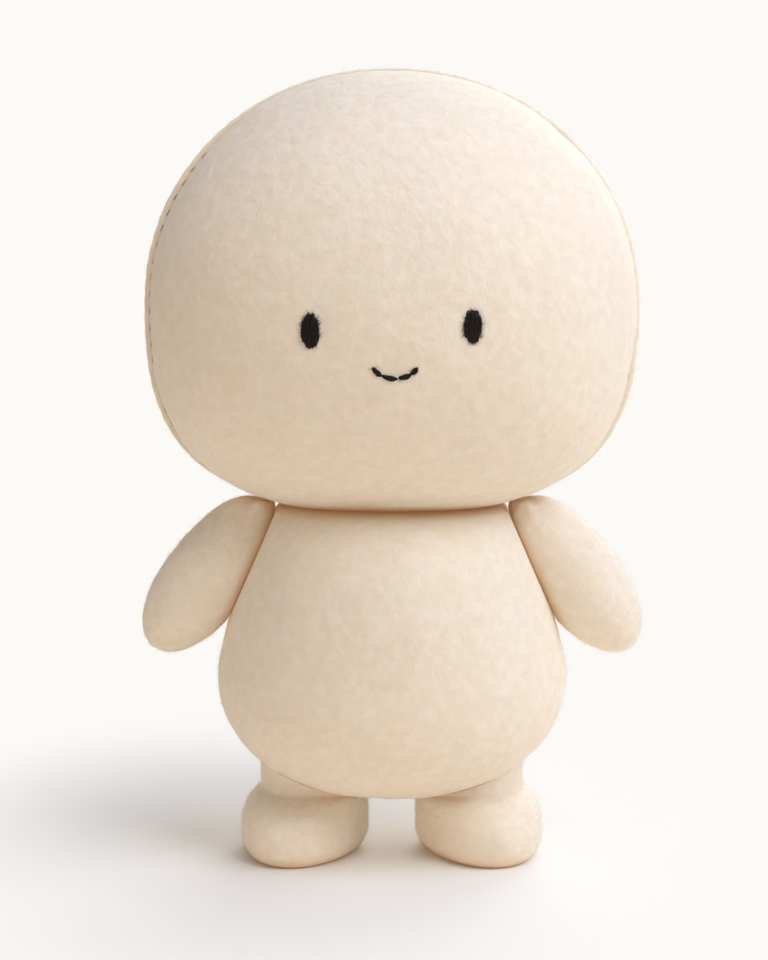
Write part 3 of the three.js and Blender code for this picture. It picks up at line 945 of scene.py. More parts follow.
def grid_sheet(rows: int, columns: int) -> bmesh.types.BMesh:
    """Makes a flat sheet of faces over the unit square, X across and Y up.

    Args:
        rows: Faces up it.
        columns: Faces across it.

    Returns:
        The mesh.
    """
    bm = bmesh.new()
    bmesh.ops.create_grid(bm, x_segments=columns, y_segments=rows, size=0.5)
    bmesh.ops.translate(bm, verts=bm.verts[:], vec=(0.5, 0.5, 0))
    return bm


def coordinates(mesh: Mesh) -> Points:
    """The places of a mesh's vertices, one a row."""
    flat = np.empty(len(mesh.vertices) * 3)
    mesh.vertices.foreach_get("co", flat)
    return flat.reshape(-1, 3)


def move_to(mesh: Mesh, points: Points) -> None:
    """Puts a mesh's vertices at these places."""
    mesh.vertices.foreach_set("co", points.astype(np.float32).ravel())
    mesh.update()


def normals(mesh: Mesh) -> Points:
    """The directions in which a mesh's vertices face, one a row."""
    flat = np.empty(len(mesh.vertices) * 3)
    mesh.vertex_normals.foreach_get("vector", flat)
    return flat.reshape(-1, 3)


def as_object(bm: bmesh.types.BMesh, name: str, material: Material) -> Piece:
    """Turns a bmesh into a smooth object of the scene and frees it.

    Args:
        bm: The mesh.
        name: The piece's name.
        material: Its finish.

    Returns:
        The object.
    """
    mesh = bpy.data.meshes.new(name)
    bm.to_mesh(mesh)
    bm.free()
    mesh.shade_smooth()
    mesh.materials.append(material)
    piece = bpy.data.objects.new(name, mesh)
    bpy.context.scene.collection.objects.link(piece)
    return piece


def settle(
    piece: Piece, body: Body, slot: Slot, nodes: Sequence[str] = (), fill: float | None = None
) -> Piece:
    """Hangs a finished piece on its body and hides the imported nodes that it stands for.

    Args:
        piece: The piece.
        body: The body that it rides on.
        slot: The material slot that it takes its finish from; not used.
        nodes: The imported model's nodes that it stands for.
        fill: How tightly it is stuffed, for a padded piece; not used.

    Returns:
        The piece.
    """
    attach(piece, body.value)
    if nodes:
        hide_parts(*nodes)
    log.info("%s rides on %s with %d faces", piece.name, body.value, len(piece.data.polygons))
    return piece


def frozen(piece: Piece) -> None:
    """Applies a piece's modifiers to its mesh."""
    graph = bpy.context.evaluated_depsgraph_get()
    mesh = bpy.data.meshes.new_from_object(piece.evaluated_get(graph))
    piece.modifiers.clear()
    piece.data = mesh


def rework(piece: Piece, change: Callable[..., Any]) -> None:
    """Changes all faces of a piece.

    Args:
        piece: The piece.
        change: One of bmesh's operators on faces.
    """
    bm = bmesh.new()
    bm.from_mesh(piece.data)
    change(bm, faces=bm.faces[:])
    bm.to_mesh(piece.data)
    bm.free()


def mirrored(piece: Piece) -> None:
    """Mirrors a piece's mesh to the doll's other side and keeps its faces outwards."""
    move_to(piece.data, coordinates(piece.data) * MIRROR)
    rework(piece, bmesh.ops.reverse_faces)


@dataclass
class Relief:
    """The uneven surface of stuffed felt: broad dents from the hand, and small felted lumps."""

    seed: float = 0.0
    dents: float = 0.30 * MM
    dent_size: float = 13 * MM
    lumps: float = 0.14 * MM
    lump_size: float = 3.6 * MM
    pits: float = 0.256 * MM
    pit_size: float = 1.9 * MM
    pit_from: float = -0.1

    def heights(self, points: Points) -> Points:
        """How far the felt stands off its form.

        Args:
            points: The points of its outer face.

        Returns:
            The height at each point.
        """
        shift = Vector((self.seed, self.seed * 0.7, -self.seed))
        made = np.empty(len(points))
        for i, p in enumerate(points.tolist()):
            at = Vector(p)
            broad = noise.noise(at / self.dent_size + shift)
            middle = noise.noise(at / self.lump_size + shift)
            small = noise.noise(at / self.pit_size - shift)
            made[i] = self.dents * broad + self.lumps * middle + self.pits * min(0.0, small - self.pit_from)
        return made


@dataclass
class Pull:
    """A place where sewing draws the felt in, seen from the front."""

    x: float
    z: float
    wide: float
    high: float
    depth: float

    def drawn(self, points: Points) -> Points:
        """How far each point is drawn in."""
        off = ((points[:, 0] - self.x) / self.wide) ** 2 + ((points[:, 2] - self.z) / self.high) ** 2
        return np.where(points[:, 1] < 0, self.depth * np.exp(-off), 0)


def felt_skin(piece: Piece, free: Field, relief: Relief, pulls: Sequence[Pull] = ()) -> None:
    """Gives a felt sheet its thickness, then its uneven outer face, and notes how many points that has.

    Args:
        piece: The sheet, with its outer face out.
        free: How free each point is to leave its form.
        relief: The outer face's unevenness.
        pulls: Where sewing draws it in.
    """
    outer = len(piece.data.vertices)
    facing = normals(piece.data)
    wall = piece.modifiers.new("thickness", "SOLIDIFY")
    wall.thickness, wall.offset, wall.use_even_offset = FELT_THICKNESS, -1, False
    frozen(piece)
    points = coordinates(piece.data)
    face = points[:outer]
    lift = relief.heights(face)
    for pull in pulls:
        lift = lift - pull.drawn(face)
    points[:outer] += facing * (lift * free(face))[:, None]
    move_to(piece.data, points)
    piece.data.set_sharp_from_angle(angle=SHARP_FROM)
    piece["outer_points"] = outer


def strand(
    target: bmesh.types.BMesh,
    path: Callable[[float], Vector],
    radius: Callable[[float], float],
    sides: int = 8,
    steps: int = 10,
    plies: int = 2,
    twists: float = 2.0,
    lobe: float = 0.16,
) -> None:
    """Adds one length of twisted thread.

    Args:
        target: The mesh that takes it.
        path: Its middle line, from 0 to 1.
        radius: Its radius along the line.
        sides: Sides of its section.
        steps: Steps along it.
        plies: Yarns that are twisted together.
        twists: Turns along its length.
        lobe: How far each yarn bulges, as a share of the radius.
    """
    bm = bmesh.new()
    bmesh.ops.create_cone(bm, cap_ends=True, segments=sides, radius1=1, radius2=1, depth=1)
    upright = [e for e in bm.edges if climb_of(e) > 0.5]
    bmesh.ops.subdivide_edges(bm, edges=upright, cuts=steps - 1)
    for v in bm.verts:
        t = clamp(v.co.z + 0.5)
        angle = math.atan2(v.co.y, v.co.x)
        along = (path(clamp(t + 0.01)) - path(clamp(t - 0.01))).normalized()
        side = along.cross(Vector((0, -1, 0))).normalized()
        up = side.cross(along)
        reach = radius(t) * (1 + lobe * math.cos(plies * (angle - 2 * math.pi * twists * t / plies)))
        v.co = path(t) + reach * (math.cos(angle) * side + math.sin(angle) * up)
    bmesh.ops.recalc_face_normals(bm, faces=bm.faces[:])
    mesh = bpy.data.meshes.new("strand")
    bm.to_mesh(mesh)
    bm.free()
    target.from_mesh(mesh)
    bpy.data.meshes.remove(mesh)


@dataclass
class Fuzz:
    """Loose fibres that stand off a felt piece."""

    count: int
    seed: int
    shortest: float = 0.5 * MM
    longest: float = 1.9 * MM
    mostly_short: float = 2.2
    radius: float = 0.045 * MM
    taper: float = 0.75
    least_lean: float = 0.36
    more_lean: float = 0.81
    curl: float = 0.5
    swerve: float = 0.35
    root_depth: float = 0.1 * MM
    steps: int = 2

    def grow(self, name: str, skin: Piece, allowed: Field, material: Material) -> Piece:
        """Makes the fibres over a skin's outer face.

        Args:
            name: The new piece's name.
            skin: The felt piece, whose outer vertices come first.
            allowed: How likely a fibre is at each point, from 0 to 1.
            material: The fibres' finish.

        Returns:
            The new piece.
        """
        rng = np.random.default_rng(self.seed)
        root, facing = self.roots(skin, allowed, rng)
        count = len(root)
        sideways = rng.normal(size=(count, 3))
        sideways -= (sideways * facing).sum(1)[:, None] * facing
        sideways /= np.linalg.norm(sideways, axis=1)[:, None]
        across = np.cross(facing, sideways)
        length = self.shortest + (self.longest - self.shortest) * rng.random(count) ** self.mostly_short
        lean = self.least_lean + self.more_lean * rng.random(count)
        curl = rng.normal(0, self.curl, count)
        steps = self.steps
        fibre = bmesh.new()
        bmesh.ops.create_cone(fibre, cap_ends=False, segments=3, radius1=1, radius2=1, depth=steps)
        bmesh.ops.subdivide_edges(fibre, edges=[e for e in fibre.edges if climb_of(e) > 1], cuts=steps - 1)
        piece = as_object(fibre, name, material)
        copies = piece.modifiers.new("copies", "ARRAY")
        copies.count, copies.use_relative_offset = count, False
        frozen(piece)
        template = coordinates(piece.data)[: 3 * (steps + 1)]
        climb = (template[:, 2] + steps / 2) / steps
        spin = np.arctan2(template[:, 1], template[:, 0])
        t = climb[None, :]
        bend = lean[:, None] * t + curl[:, None] * t**2
        middle = (
            root[:, None, :]
            + (length[:, None] * (t * np.cos(lean)[:, None]))[:, :, None] * facing[:, None, :]
            + (length[:, None] * t * np.sin(bend))[:, :, None] * sideways[:, None, :]
            + (length[:, None] * self.swerve * curl[:, None] * t**2)[:, :, None] * across[:, None, :]
        )
        thick = (self.radius * (1 - self.taper * climb))[None, :, None]
        upward = ((sideways + facing) / 2)[:, None, :]
        ring = np.cos(spin)[None, :, None] * across[:, None, :] + np.sin(spin)[None, :, None] * upward
        move_to(piece.data, (middle + thick * ring).reshape(-1, 3))
        return piece

    def roots(self, skin: Piece, allowed: Field, rng: np.random.Generator) -> tuple[Points, Points]:
        """Picks where fibres leave a skin.

        Args:
            skin: The felt piece.
            allowed: How likely a fibre is at each point.
            rng: The random numbers.

        Returns:
            The roots and the directions in which the felt faces there.
        """
        mesh = skin.data
        outer = skin["outer_points"]
        mesh.calc_loop_triangles()
        corner = np.empty(len(mesh.loop_triangles) * 3, dtype=np.int32)
        mesh.loop_triangles.foreach_get("vertices", corner)
        corner = corner.reshape(-1, 3)
        corner = corner[(corner < outer).all(1)]
        points, facing = coordinates(mesh), normals(mesh)
        a, b, c = (points[corner[:, k]] for k in range(3))
        area = np.linalg.norm(np.cross(b - a, c - a), axis=1) / 2
        weight = area * allowed((a + b + c) / 3)
        pick = rng.choice(len(corner), self.count, p=weight / weight.sum())
        u, v = rng.random(self.count), rng.random(self.count)
        flip = u + v > 1
        u[flip], v[flip] = 1 - u[flip], 1 - v[flip]
        root = a[pick] + u[:, None] * (b - a)[pick] + v[:, None] * (c - a)[pick]
        normal = facing[corner[pick]].mean(1)
        normal /= np.linalg.norm(normal, axis=1)[:, None]
        return root - normal * self.root_depth, normal


def filling(node: str, body: Body, material: Material, seed: float) -> None:
    """Makes the fibre filling of a node: its solid, drawn in a little and clumped.

    Args:
        node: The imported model's stuffing.
        body: The body that it rides on.
        material: Its finish.
        seed: Which clumps it gets.
    """
    bm = bmesh.new()
    bm.from_mesh(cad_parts[node].data)
    bmesh.ops.remove_doubles(bm, verts=bm.verts[:], dist=TINY)
    piece = as_object(bm, node.replace("stuffing", "filling"), material)
    even = piece.modifiers.new("even", "REMESH")
    even.mode, even.voxel_size = "VOXEL", FILLING_STEP
    frozen(piece)
    piece.data.materials.clear()
    piece.data.materials.append(material)
    points, facing = coordinates(piece.data), normals(piece.data)
    shift = Vector((seed, -seed, seed))
    places = (Vector(p) / FILLING_CLUMP + shift for p in points.tolist())
    clumps = np.array([noise.turbulence(place, 3, False) for place in places])
    move_to(piece.data, points - facing * (FILLING_GAP + FILLING_DENT * np.clip(clumps, 0, 1))[:, None])
    piece.data.shade_smooth()
    settle(piece, body, Slot.STUFFING, [node], STUFFED_FIRMLY)


# Sub-assemblies


@dataclass(frozen=True)
class Stitches:
    """A running stitch along the head's seam, whose ends dip into the felt."""

    spacing: float = 5.0 * MM
    length: float = 2.5 * MM
    radius: float = 0.24 * MM
    above_groove: float = 0.3 * MM
    sunk: float = 0.5 * MM
    off_seam: float = 1.42 * MM
    dip: float = 0.75 * MM
    wobble: float = 0.25 * MM


@dataclass
class Head:
    """The head: two felt panels sewn at a raised edge, their stitches, the filling, eyes and mouth."""

    form: HeadForm
    finishes: Finishes
    segments: int = 120
    fibres: int = 13000
    groove: float = 0.6 * MM
    groove_reach: float = 1.0 * MM
    groove_beat: float = 0.25
    groove_eased: float = 0.85
    risen: float = 1.3 * MM
    risen_reach: float = 9.0 * MM
    risen_left: float = 0.8
    eased_crown: Pair = (0.6, 0.88)
    eased_left: Pair = (0.45, 0.85)
    eased_until: Pair = (0.05, 0.35)
    pucker: float = 0.06 * MM
    rim_sway: float = 0.10
    rim_from: Pair = (0.10, 0.30)
    seam_hold: float = 0.8
    seam_reach: float = 1 / 60
    stitches: Stitches = Stitches()
    eye_spacing: float = 45.8 * MM
    eye_height: float = -1.1 * MM
    eye_tilt: float = 0.6 * MM
    eye_half_left: float = 5.0 * MM
    eye_half_right: float = 5.3 * MM
    eye_pull: Triple = (5.2 * MM, 7.5 * MM, 0.55 * MM)
    eyes_off_centre: float = -0.3 * MM
    mouth_off_centre: float = 0.7 * MM
    mouth_below: float = 11 * MM
    mouth_sag: float = 3.1 * MM
    mouth_width: float = 12.8 * MM
    mouth_pull: Triple = (8 * MM, 3.6 * MM, 0.35 * MM)

    def __post_init__(self) -> None:
        """Lays out the seam's line and the face."""
        self.seam_turn = np.linspace(-np.pi / 2, 1.5 * np.pi, 4001)
        line = self.form.place(in_seam(self.seam_turn))
        step = np.linalg.norm(np.diff(line, axis=0), axis=1)
        self.seam_run = np.concatenate([[0], np.cumsum(step)])
        self.stitch_count = round(self.seam_run[-1] / self.stitches.spacing)
        self.eye_z = self.form.centre + self.eye_height
        self.panels: dict[int, Piece] = {}

    def seam_phase(self, way: Points) -> Points:
        """Where each direction lies along the seam, counted in stitches."""
        turn = np.arctan2(way[:, 2], way[:, 0])
        turn = np.where(turn < -np.pi / 2, turn + 2 * np.pi, turn)
        return np.interp(turn, self.seam_turn, self.seam_run) / self.seam_run[-1] * self.stitch_count

    def rim_fade(self, way: Points) -> Points:
        """How high the sewn edge stands: it fades where the head comes down to the neck."""
        climb = np.arcsin(np.clip(way[:, 2], -1, 1)) / np.pi + 0.5
        return smooth(climb, *self.rim_from)

    def eased(self, way: Points) -> Points:
        """How far the felt rises to the sewn edge: over the crown and on the doll's left."""
        left = smooth(way[:, 0], *self.eased_left) * (1 - smooth(-way[:, 2], *self.eased_until))
        return np.maximum(smooth(way[:, 2], *self.eased_crown), self.risen_left * left)

    def tightness(self, side: float, height: float, index: int) -> float:
        """How far a stitch is drawn into the felt: most over the crown and on the doll's left.

        Args:
            side: How far to the doll's left it lies, from -1 to 1.
            height: How high it lies, from -1 to 1.
            index: Which stitch, since no two are alike.

        Returns:
            A share of the most that it may sink.
        """
        over = clamp((height - 0.6) * 5)
        left = clamp(side * 2) * (1 - 0.5 * clamp(-4 * height))
        uneven = 0.5 * noise.noise(Vector((index * 0.9, 4.2, 1.7)))
        return clamp(max(over, 0.7 * left) + uneven)

    def seam_out(self, way: Points) -> Points:
        """The direction out of the seam, in its own plane.

        Args:
            way: Unit vectors, one a row.

        Returns:
            The outward direction where each of them meets the seam's plane.
        """
        turn = np.arctan2(way[:, 2], way[:, 0])
        run = self.form.place(in_seam(turn + 0.01)) - self.form.place(in_seam(turn - 0.01))
        out = np.stack([run[:, 2], 0 * turn, -run[:, 0]], 1)
        return out / np.linalg.norm(out, axis=1)[:, None]

    def panel_points(self, ball: Points, keep: int) -> Points:
        """Draws the half ball and its rings over the head.

        Args:
            ball: The points of the half ball.
            keep: -1 for the front, 1 for the back.

        Returns:
            The places of the panel's outer face.
        """
        ring, way = rings_and_ways(ball, keep)
        on_ring = ring > 0
        points = self.form.place(way)
        crown = np.abs(way[:, 1]) / np.maximum((1 - np.clip(way[:, 2], -1, 1) ** 2) ** 0.25, TINY)
        lift = SEWN_GAP / 2 + self.form.rim_thickness * (1 - np.clip(crown, 0, 1))
        fade = self.rim_fade(way)
        phase = self.seam_phase(way)
        beat = np.cos(2 * np.pi * phase)
        sway = np.array([noise.noise(Vector((p * 0.37, 3.1, 0))) for p in phase.tolist()])
        out = self.seam_out(way)
        height = RIM_OUT[ring] * MM * (1 + self.rim_sway * sway)
        height -= self.pucker * beat * np.minimum(1, ring / 4)
        points += out * np.where(on_ring, height * fade, 0)[:, None]
        lying = SEWN_GAP / 2 + self.form.rim_thickness * RIM_OFF[ring] / RIM_OFF[0]
        side = RIM_OFF[ring] * MM * fade + (1 - fade) * lying
        points[:, 1] += keep * np.where(on_ring, side, lift)
        near = np.where(on_ring, 0, np.abs(points[:, 1]) - lift)
        eased = self.eased(way)
        uneven = 1 - self.groove_beat + self.groove_beat * beat
        drawn = self.groove * uneven * np.exp(-((near / self.groove_reach) ** 2)) * fade
        drawn = np.where(ring > 2, 0, drawn) * (1 - self.groove_eased * eased)
        risen = self.risen * np.exp(-((near / self.risen_reach) ** 2)) * fade * eased
        return points + out * (np.where(on_ring, 0, risen) - drawn)[:, None]

    def eye_spot(self, side: Side) -> Pair:
        """Where the middle of an eye lies: its place across and its height."""
        across = self.eyes_off_centre + side.value * self.eye_spacing / 2
        return across, self.eye_z + side.value * self.eye_tilt

    def face_pulls(self) -> list[Pull]:
        """Where the eyes and the mouth draw the felt in."""
        eyes = [Pull(*self.eye_spot(side), *self.eye_pull) for side in Side]
        mouth_z = self.eye_z - self.mouth_below - self.mouth_sag / 2
        return [*eyes, Pull(self.mouth_off_centre, mouth_z, *self.mouth_pull)]

    def build_panels(self) -> None:
        """Makes the front and the back panel."""
        for keep, word in FACES:
            bm = half_ball(self.segments, len(RIM_OUT) - 1, keep)
            piece = as_object(bm, f"head_{word}_felt", self.finishes.felt)
            ball = coordinates(piece.data)
            move_to(piece.data, self.panel_points(ball, keep))
            near = np.exp(-((ball[:, 1] / self.seam_reach) ** 2))
            pulls = self.face_pulls() if keep < 0 else []
            felt_skin(piece, held(self.form.freedom, near, self.seam_hold), Relief(seed=2.0 + keep), pulls)
            self.panels[keep] = settle(piece, Body.HEAD, Slot.FELT, [f"head_{word}_panel"], STUFFED_FIRMLY)

    def add_stitch(self, target: bmesh.types.BMesh, index: int, keep: int) -> None:
        """Sews one stitch into a face of the raised edge, where the edge stands high enough.

        Args:
            target: The mesh that takes it.
            index: Which stitch.
            keep: -1 for the front, or 1 for the back, whose stitches lie between the front's.
        """
        sewing = self.stitches
        middle = (index + (0.0 if keep < 0 else 0.5)) / self.stitch_count * self.seam_run[-1]
        ends = [middle + s * sewing.length / 2 for s in (-1, 0, 1)]
        way = in_seam(np.interp(ends, self.seam_run, self.seam_turn))
        if self.rim_fade(way[1:2])[0] < 0.5:
            return
        above = sewing.above_groove - sewing.sunk * self.tightness(way[1, 0], way[1, 2], index)
        a, b, c = (Vector(p) for p in self.form.place(way) + self.seam_out(way) * above)
        wobble = noise.noise(Vector((index * 0.7, keep, 0.5))) * sewing.wobble
        out = (b - Vector((0, 0, self.form.centre))).normalized()

        def path(t: float) -> Vector:
            """The stitch's line, which dips into the felt at both ends."""
            at = a.lerp(b, 2 * t) if t < 0.5 else b.lerp(c, 2 * t - 1)
            off = sewing.off_seam - sewing.dip * abs(2 * t - 1) ** 3
            return at + Vector((0, keep * off, 0)) + out * wobble * (2 * t - 1)

        strand(target, path, lambda t: sewing.radius, sides=7, steps=6, twists=1.5)

    def build_stitches(self) -> None:
        """Sews the running stitches into both faces of the raised edge."""
        for keep, word in FACES:
            bm = bmesh.new()
            for index in range(self.stitch_count):
                self.add_stitch(bm, index, keep)
            piece = as_object(bm, f"head_seam_stitches_{word}", self.finishes.cream)
            settle(piece, Body.HEAD, Slot.FELT)

    def on_face(self, x: float, z: float, out: float) -> Vector:
        """The point at a distance off the felt, in front of a place across and a height of the face."""
        hit, normal, _, _ = self.face.ray_cast(Vector((x, -1, z)), Vector((0, 1, 0)))
        return hit + normal * out

    def build_face(self) -> None:
        """Sews the eyes and the mouth on the front panel."""
        panel = self.panels[-1].data
        panel.calc_loop_triangles()
        triangles = [tuple(t.vertices) for t in panel.loop_triangles]
        self.face = BVHTree.FromPolygons([v.co.copy() for v in panel.vertices], triangles)
        for side, half in ((Side.LEFT, self.eye_half_left), (Side.RIGHT, self.eye_half_right)):
            eye = SatinEye(*self.eye_spot(side), half, seed=11 + side.value)
            piece = as_object(eye.build(self.on_face), f"{side.label}_satin_eye", self.finishes.black)
            settle(piece, Body.HEAD, Slot.THREAD, [f"{side.label}_eye"])
        bottom = self.eye_z - self.mouth_below - self.mouth_sag
        smile = Smile(self.mouth_off_centre, bottom, self.mouth_width, self.mouth_sag)
        for index in range(len(smile.shares)):
            bm = smile.stitch(index, self.on_face)
            piece = as_object(bm, f"mouth_back_stitch_{index + 1}", self.finishes.black)
            settle(piece, Body.HEAD, Slot.THREAD, [f"mouth_stitch_{index + 1}"])

    def build_fuzz(self) -> None:
        """Raises loose fibres on both panels."""
        for keep, word in FACES:
            fuzz = Fuzz(self.fibres, 40 + keep)
            piece = fuzz.grow(f"head_{word}_fuzz", self.panels[keep], self.form.freedom, self.finishes.fibre)
            settle(piece, Body.HEAD, Slot.FELT)

    def build(self) -> None:
        """Makes the whole head."""
        self.build_panels()
        filling("head_stuffing", Body.HEAD, self.finishes.filling, 1.0)
        self.build_stitches()
        self.build_face()
        self.build_fuzz()


def narrowing(radius: float, power: float) -> Callable[[float], float]:
    """The radius along a thread that is half as thick where its ends enter the felt."""
    return lambda t: radius * (1 - 0.5 * abs(2 * t - 1) ** power)


@dataclass
class StrayFibre:
    """A loose black fibre that lies on the felt beside the stitches."""

    x: float
    z: float
    reach: float
    turn: float
    curl: float
    radius: float
    taper: float
    off_felt: float = 0.12 * MM

    def lay(self, target: bmesh.types.BMesh, on_face: Spot) -> None:
        """Adds the fibre to a mesh.

        Args:
            target: The mesh that takes it.
            on_face: Gives a point off the face for a place across, a height and a distance.
        """

        def path(t: float) -> Vector:
            """The fibre's line."""
            turn = self.turn + self.curl * t
            across, up = (self.reach * t * part for part in (math.cos(turn), math.sin(turn)))
            return on_face(self.x + across, self.z + up, self.off_felt)

        strand(target, path, lambda t: self.radius * (1 - self.taper * t), sides=3, steps=3)


@dataclass
class SatinEye:
    """An eye in satin stitch: upright strands side by side over a padded middle."""

    x: float
    z: float
    half_height: float
    seed: int
    half_width: float = 2.7 * MM
    strands: int = 8
    radius: float = 0.38 * MM
    raised: float = 0.6 * MM
    above_felt: float = 0.15 * MM
    dip: float = 0.7 * MM
    uneven_ends: float = 0.04
    uneven_places: float = 0.15 * MM
    lean: float = 0.3 * MM
    shortened: float = 0.8
    roundness: float = 2.6
    drawn_together: float = 0.3
    padding_under: float = 0.2
    stray: int = 80
    stray_from: Pair = (0.9, 0.85)
    stray_reach: Pair = (0.4, 1.7)

    def build(self, on_face: Spot) -> bmesh.types.BMesh:
        """Makes the eye.

        Args:
            on_face: Gives a point off the face for a place across, a height and a distance.

        Returns:
            Its mesh.
        """
        rng = np.random.default_rng(self.seed)
        bm = bmesh.new()
        for layer, count in ((0, self.strands - 1), (1, self.strands)):
            for index in range(count):
                share = (index + 0.5) / count * 2 - 1
                outline = (1 - self.shortened * abs(share) ** self.roundness) ** 0.5
                half = self.half_height * outline * (1 + rng.normal(0, self.uneven_ends))
                middle = self.z + rng.normal(0, self.uneven_places)
                lean = rng.normal(0, self.lean)
                x = share * (self.half_width - self.radius * 0.3)
                high = self.raised * (self.padding_under + layer) * (1 - 0.5 * share**2)

                def path(t: float) -> Vector:
                    """The strand's line over the padding, which dips into the felt at both ends."""
                    s = 2 * t - 1
                    out = high * (1 - s**2) ** 0.5 + self.above_felt - self.dip * abs(s) ** 6
                    across = x * (1 - self.drawn_together * s**2) + lean * s
                    return on_face(self.x + across, middle + half * s, out)

                strand(bm, path, narrowing(self.radius, 6), sides=8, steps=16, twists=3.5)
        for _ in range(self.stray):
            turn = rng.uniform(0, 2 * np.pi)
            x = self.x + self.half_width * np.cos(turn) * self.stray_from[0]
            z = self.z + self.half_height * np.sin(turn) * self.stray_from[1]
            reach = rng.uniform(*self.stray_reach) * MM
            fibre = StrayFibre(x, z, reach, turn + rng.normal(0, 0.5), curl=0.5, radius=0.05 * MM, taper=0.6)
            fibre.lay(bm, on_face)
        return bm


@dataclass
class Smile:
    """The mouth: back stitches of two strands along an arc."""

    x: float
    bottom: float
    width: float
    sag: float
    shares: tuple[float, ...] = (0.25, 0.31, 0.26, 0.18)
    gap: float = 0.1 * MM
    middle_gap: float = 0.45 * MM
    radius: float = 0.42 * MM
    apart: float = 0.3 * MM
    raised: float = 0.42 * MM
    dip: float = 0.15 * MM
    tilt: float = 0.12 * MM
    parted: float = 0.25
    stray: int = 14
    stray_reach: Pair = (0.5, 1.4)
    seed: int = 60

    def stitch(self, index: int, on_face: Spot) -> bmesh.types.BMesh:
        """Makes one stitch.

        Args:
            index: Which stitch, from the doll's right.
            on_face: Gives a point off the face for a place across, a height and a distance.

        Returns:
            Its mesh.
        """
        rng = np.random.default_rng(self.seed + index)
        arc = ((self.width / 2) ** 2 + self.sag**2) / (2 * self.sag)
        half_turn = math.asin(self.width / 2 / arc)
        count = len(self.shares)
        sewn = 2 * arc * half_turn - (count - 2) * self.gap - self.middle_gap
        length = sewn * self.shares[index]
        start = sewn * sum(self.shares[:index]) + index * self.gap
        start += self.middle_gap - self.gap if 2 * index >= count else 0
        tilt = rng.normal(0, self.tilt)

        def on_arc(t: float, bow: float) -> Pair:
            """The place across and the height along the stitch, at a distance inside the arc."""
            turn = (start + length * t) / arc - half_turn
            return self.x + (arc - bow) * math.sin(turn), self.bottom + arc - (arc - bow) * math.cos(turn)

        bm = bmesh.new()
        for ply in (-1, 1):

            def path(t: float) -> Vector:
                """One strand of the stitch, bowed away from the other."""
                bow = ply * self.apart * (self.parted + math.sin(math.pi * t) ** 0.7) + tilt * (2 * t - 1)
                return on_face(*on_arc(t, bow), self.raised * math.sin(math.pi * t) ** 0.6 - self.dip)

            strand(bm, path, narrowing(self.radius, 3), sides=8, steps=10, twists=1.6)
        for _ in range(self.stray):
            t, turn, reach = rng.random(), rng.uniform(0, 2 * np.pi), rng.uniform(*self.stray_reach) * MM
            StrayFibre(*on_arc(t, 0), reach, turn, curl=0, radius=0.04 * MM, taper=0).lay(bm, on_face)
        return bm


def half_shell(
    name: str, segments: int, keep: int, form: Any, away: int, look: Material
) -> tuple[Piece, Points]:
    """Makes half of a form, whose edge is turned in at the seam.

    Args:
        name: The piece's name.
        segments: Faces along a side of the cube that it starts from.
        keep: Which side of the seam it is on, along the form's own Y.
        form: The form, with a place method.
        away: Which way along the doll's Y leads off the seam.
        look: Its finish.

    Returns:
        The piece, and how near each of its points is to the seam: 1 on it.
    """
    piece = as_object(half_ball(segments, len(TURNED_IN) - 1, keep), name, look)
    ring, way = rings_and_ways(coordinates(piece.data), keep)
    near = np.exp(-((way[:, 1] / TURNED_REACH) ** 2))
    points = form.place(way)
    points += (form.place(way, TURNED_DEPTH) - points) * (TURNED_IN[ring] * near)[:, None]
    points[:, 1] += away * CLOSED_SEAM
    move_to(piece.data, points)
    return piece, near


@dataclass
class SewnPart:
    """A part sewn of felt panels over a filling. A right part is made as the left one and mirrored."""

    form: Any
    finishes: Finishes
    side: Side = Side.LEFT

    def finish(
        self, piece: Piece, body: Body, free: Field, wooly: Field, relief: Relief, fuzz: Fuzz, fill: float
    ) -> None:
        """Turns a sheet into a felt panel with its loose fibres.

        Args:
            piece: The sheet, in its place.
            body: The body that it rides on.
            free: How free each point is to leave the form.
            wooly: Where fibres may stand off it.
            relief: Its unevenness.
            fuzz: Its fibres.
            fill: How tightly it is stuffed.
        """
        felt_skin(piece, free, relief)
        fibres = fuzz.grow(piece.name.replace("_felt", "_fuzz"), piece, wooly, self.finishes.fibre)
        if self.side is Side.RIGHT:
            mirrored(piece)
            mirrored(fibres)
        settle(piece, body, Slot.FELT, [piece.name.replace("_felt", "_panel")], fill)
        settle(fibres, body, Slot.FELT)


@dataclass
class Torso(SewnPart):
    """The body: two felt panels and the filling."""

    segments: int = 100
    fibres: int = 9000

    def build(self) -> None:
        """Makes the body's felt, filling and fuzz."""
        free = self.form.freedom
        for keep, word in FACES:
            name = f"torso_{word}_felt"
            piece, near = half_shell(name, self.segments, keep, self.form, keep, self.finishes.felt)
            relief, fuzz = Relief(seed=7.0 + keep), Fuzz(self.fibres, 50 + keep)
            self.finish(piece, Body.TORSO, held(free, near), free, relief, fuzz, STUFFED_FIRMLY)
        filling("torso_stuffing", Body.TORSO, self.finishes.filling, 2.0)


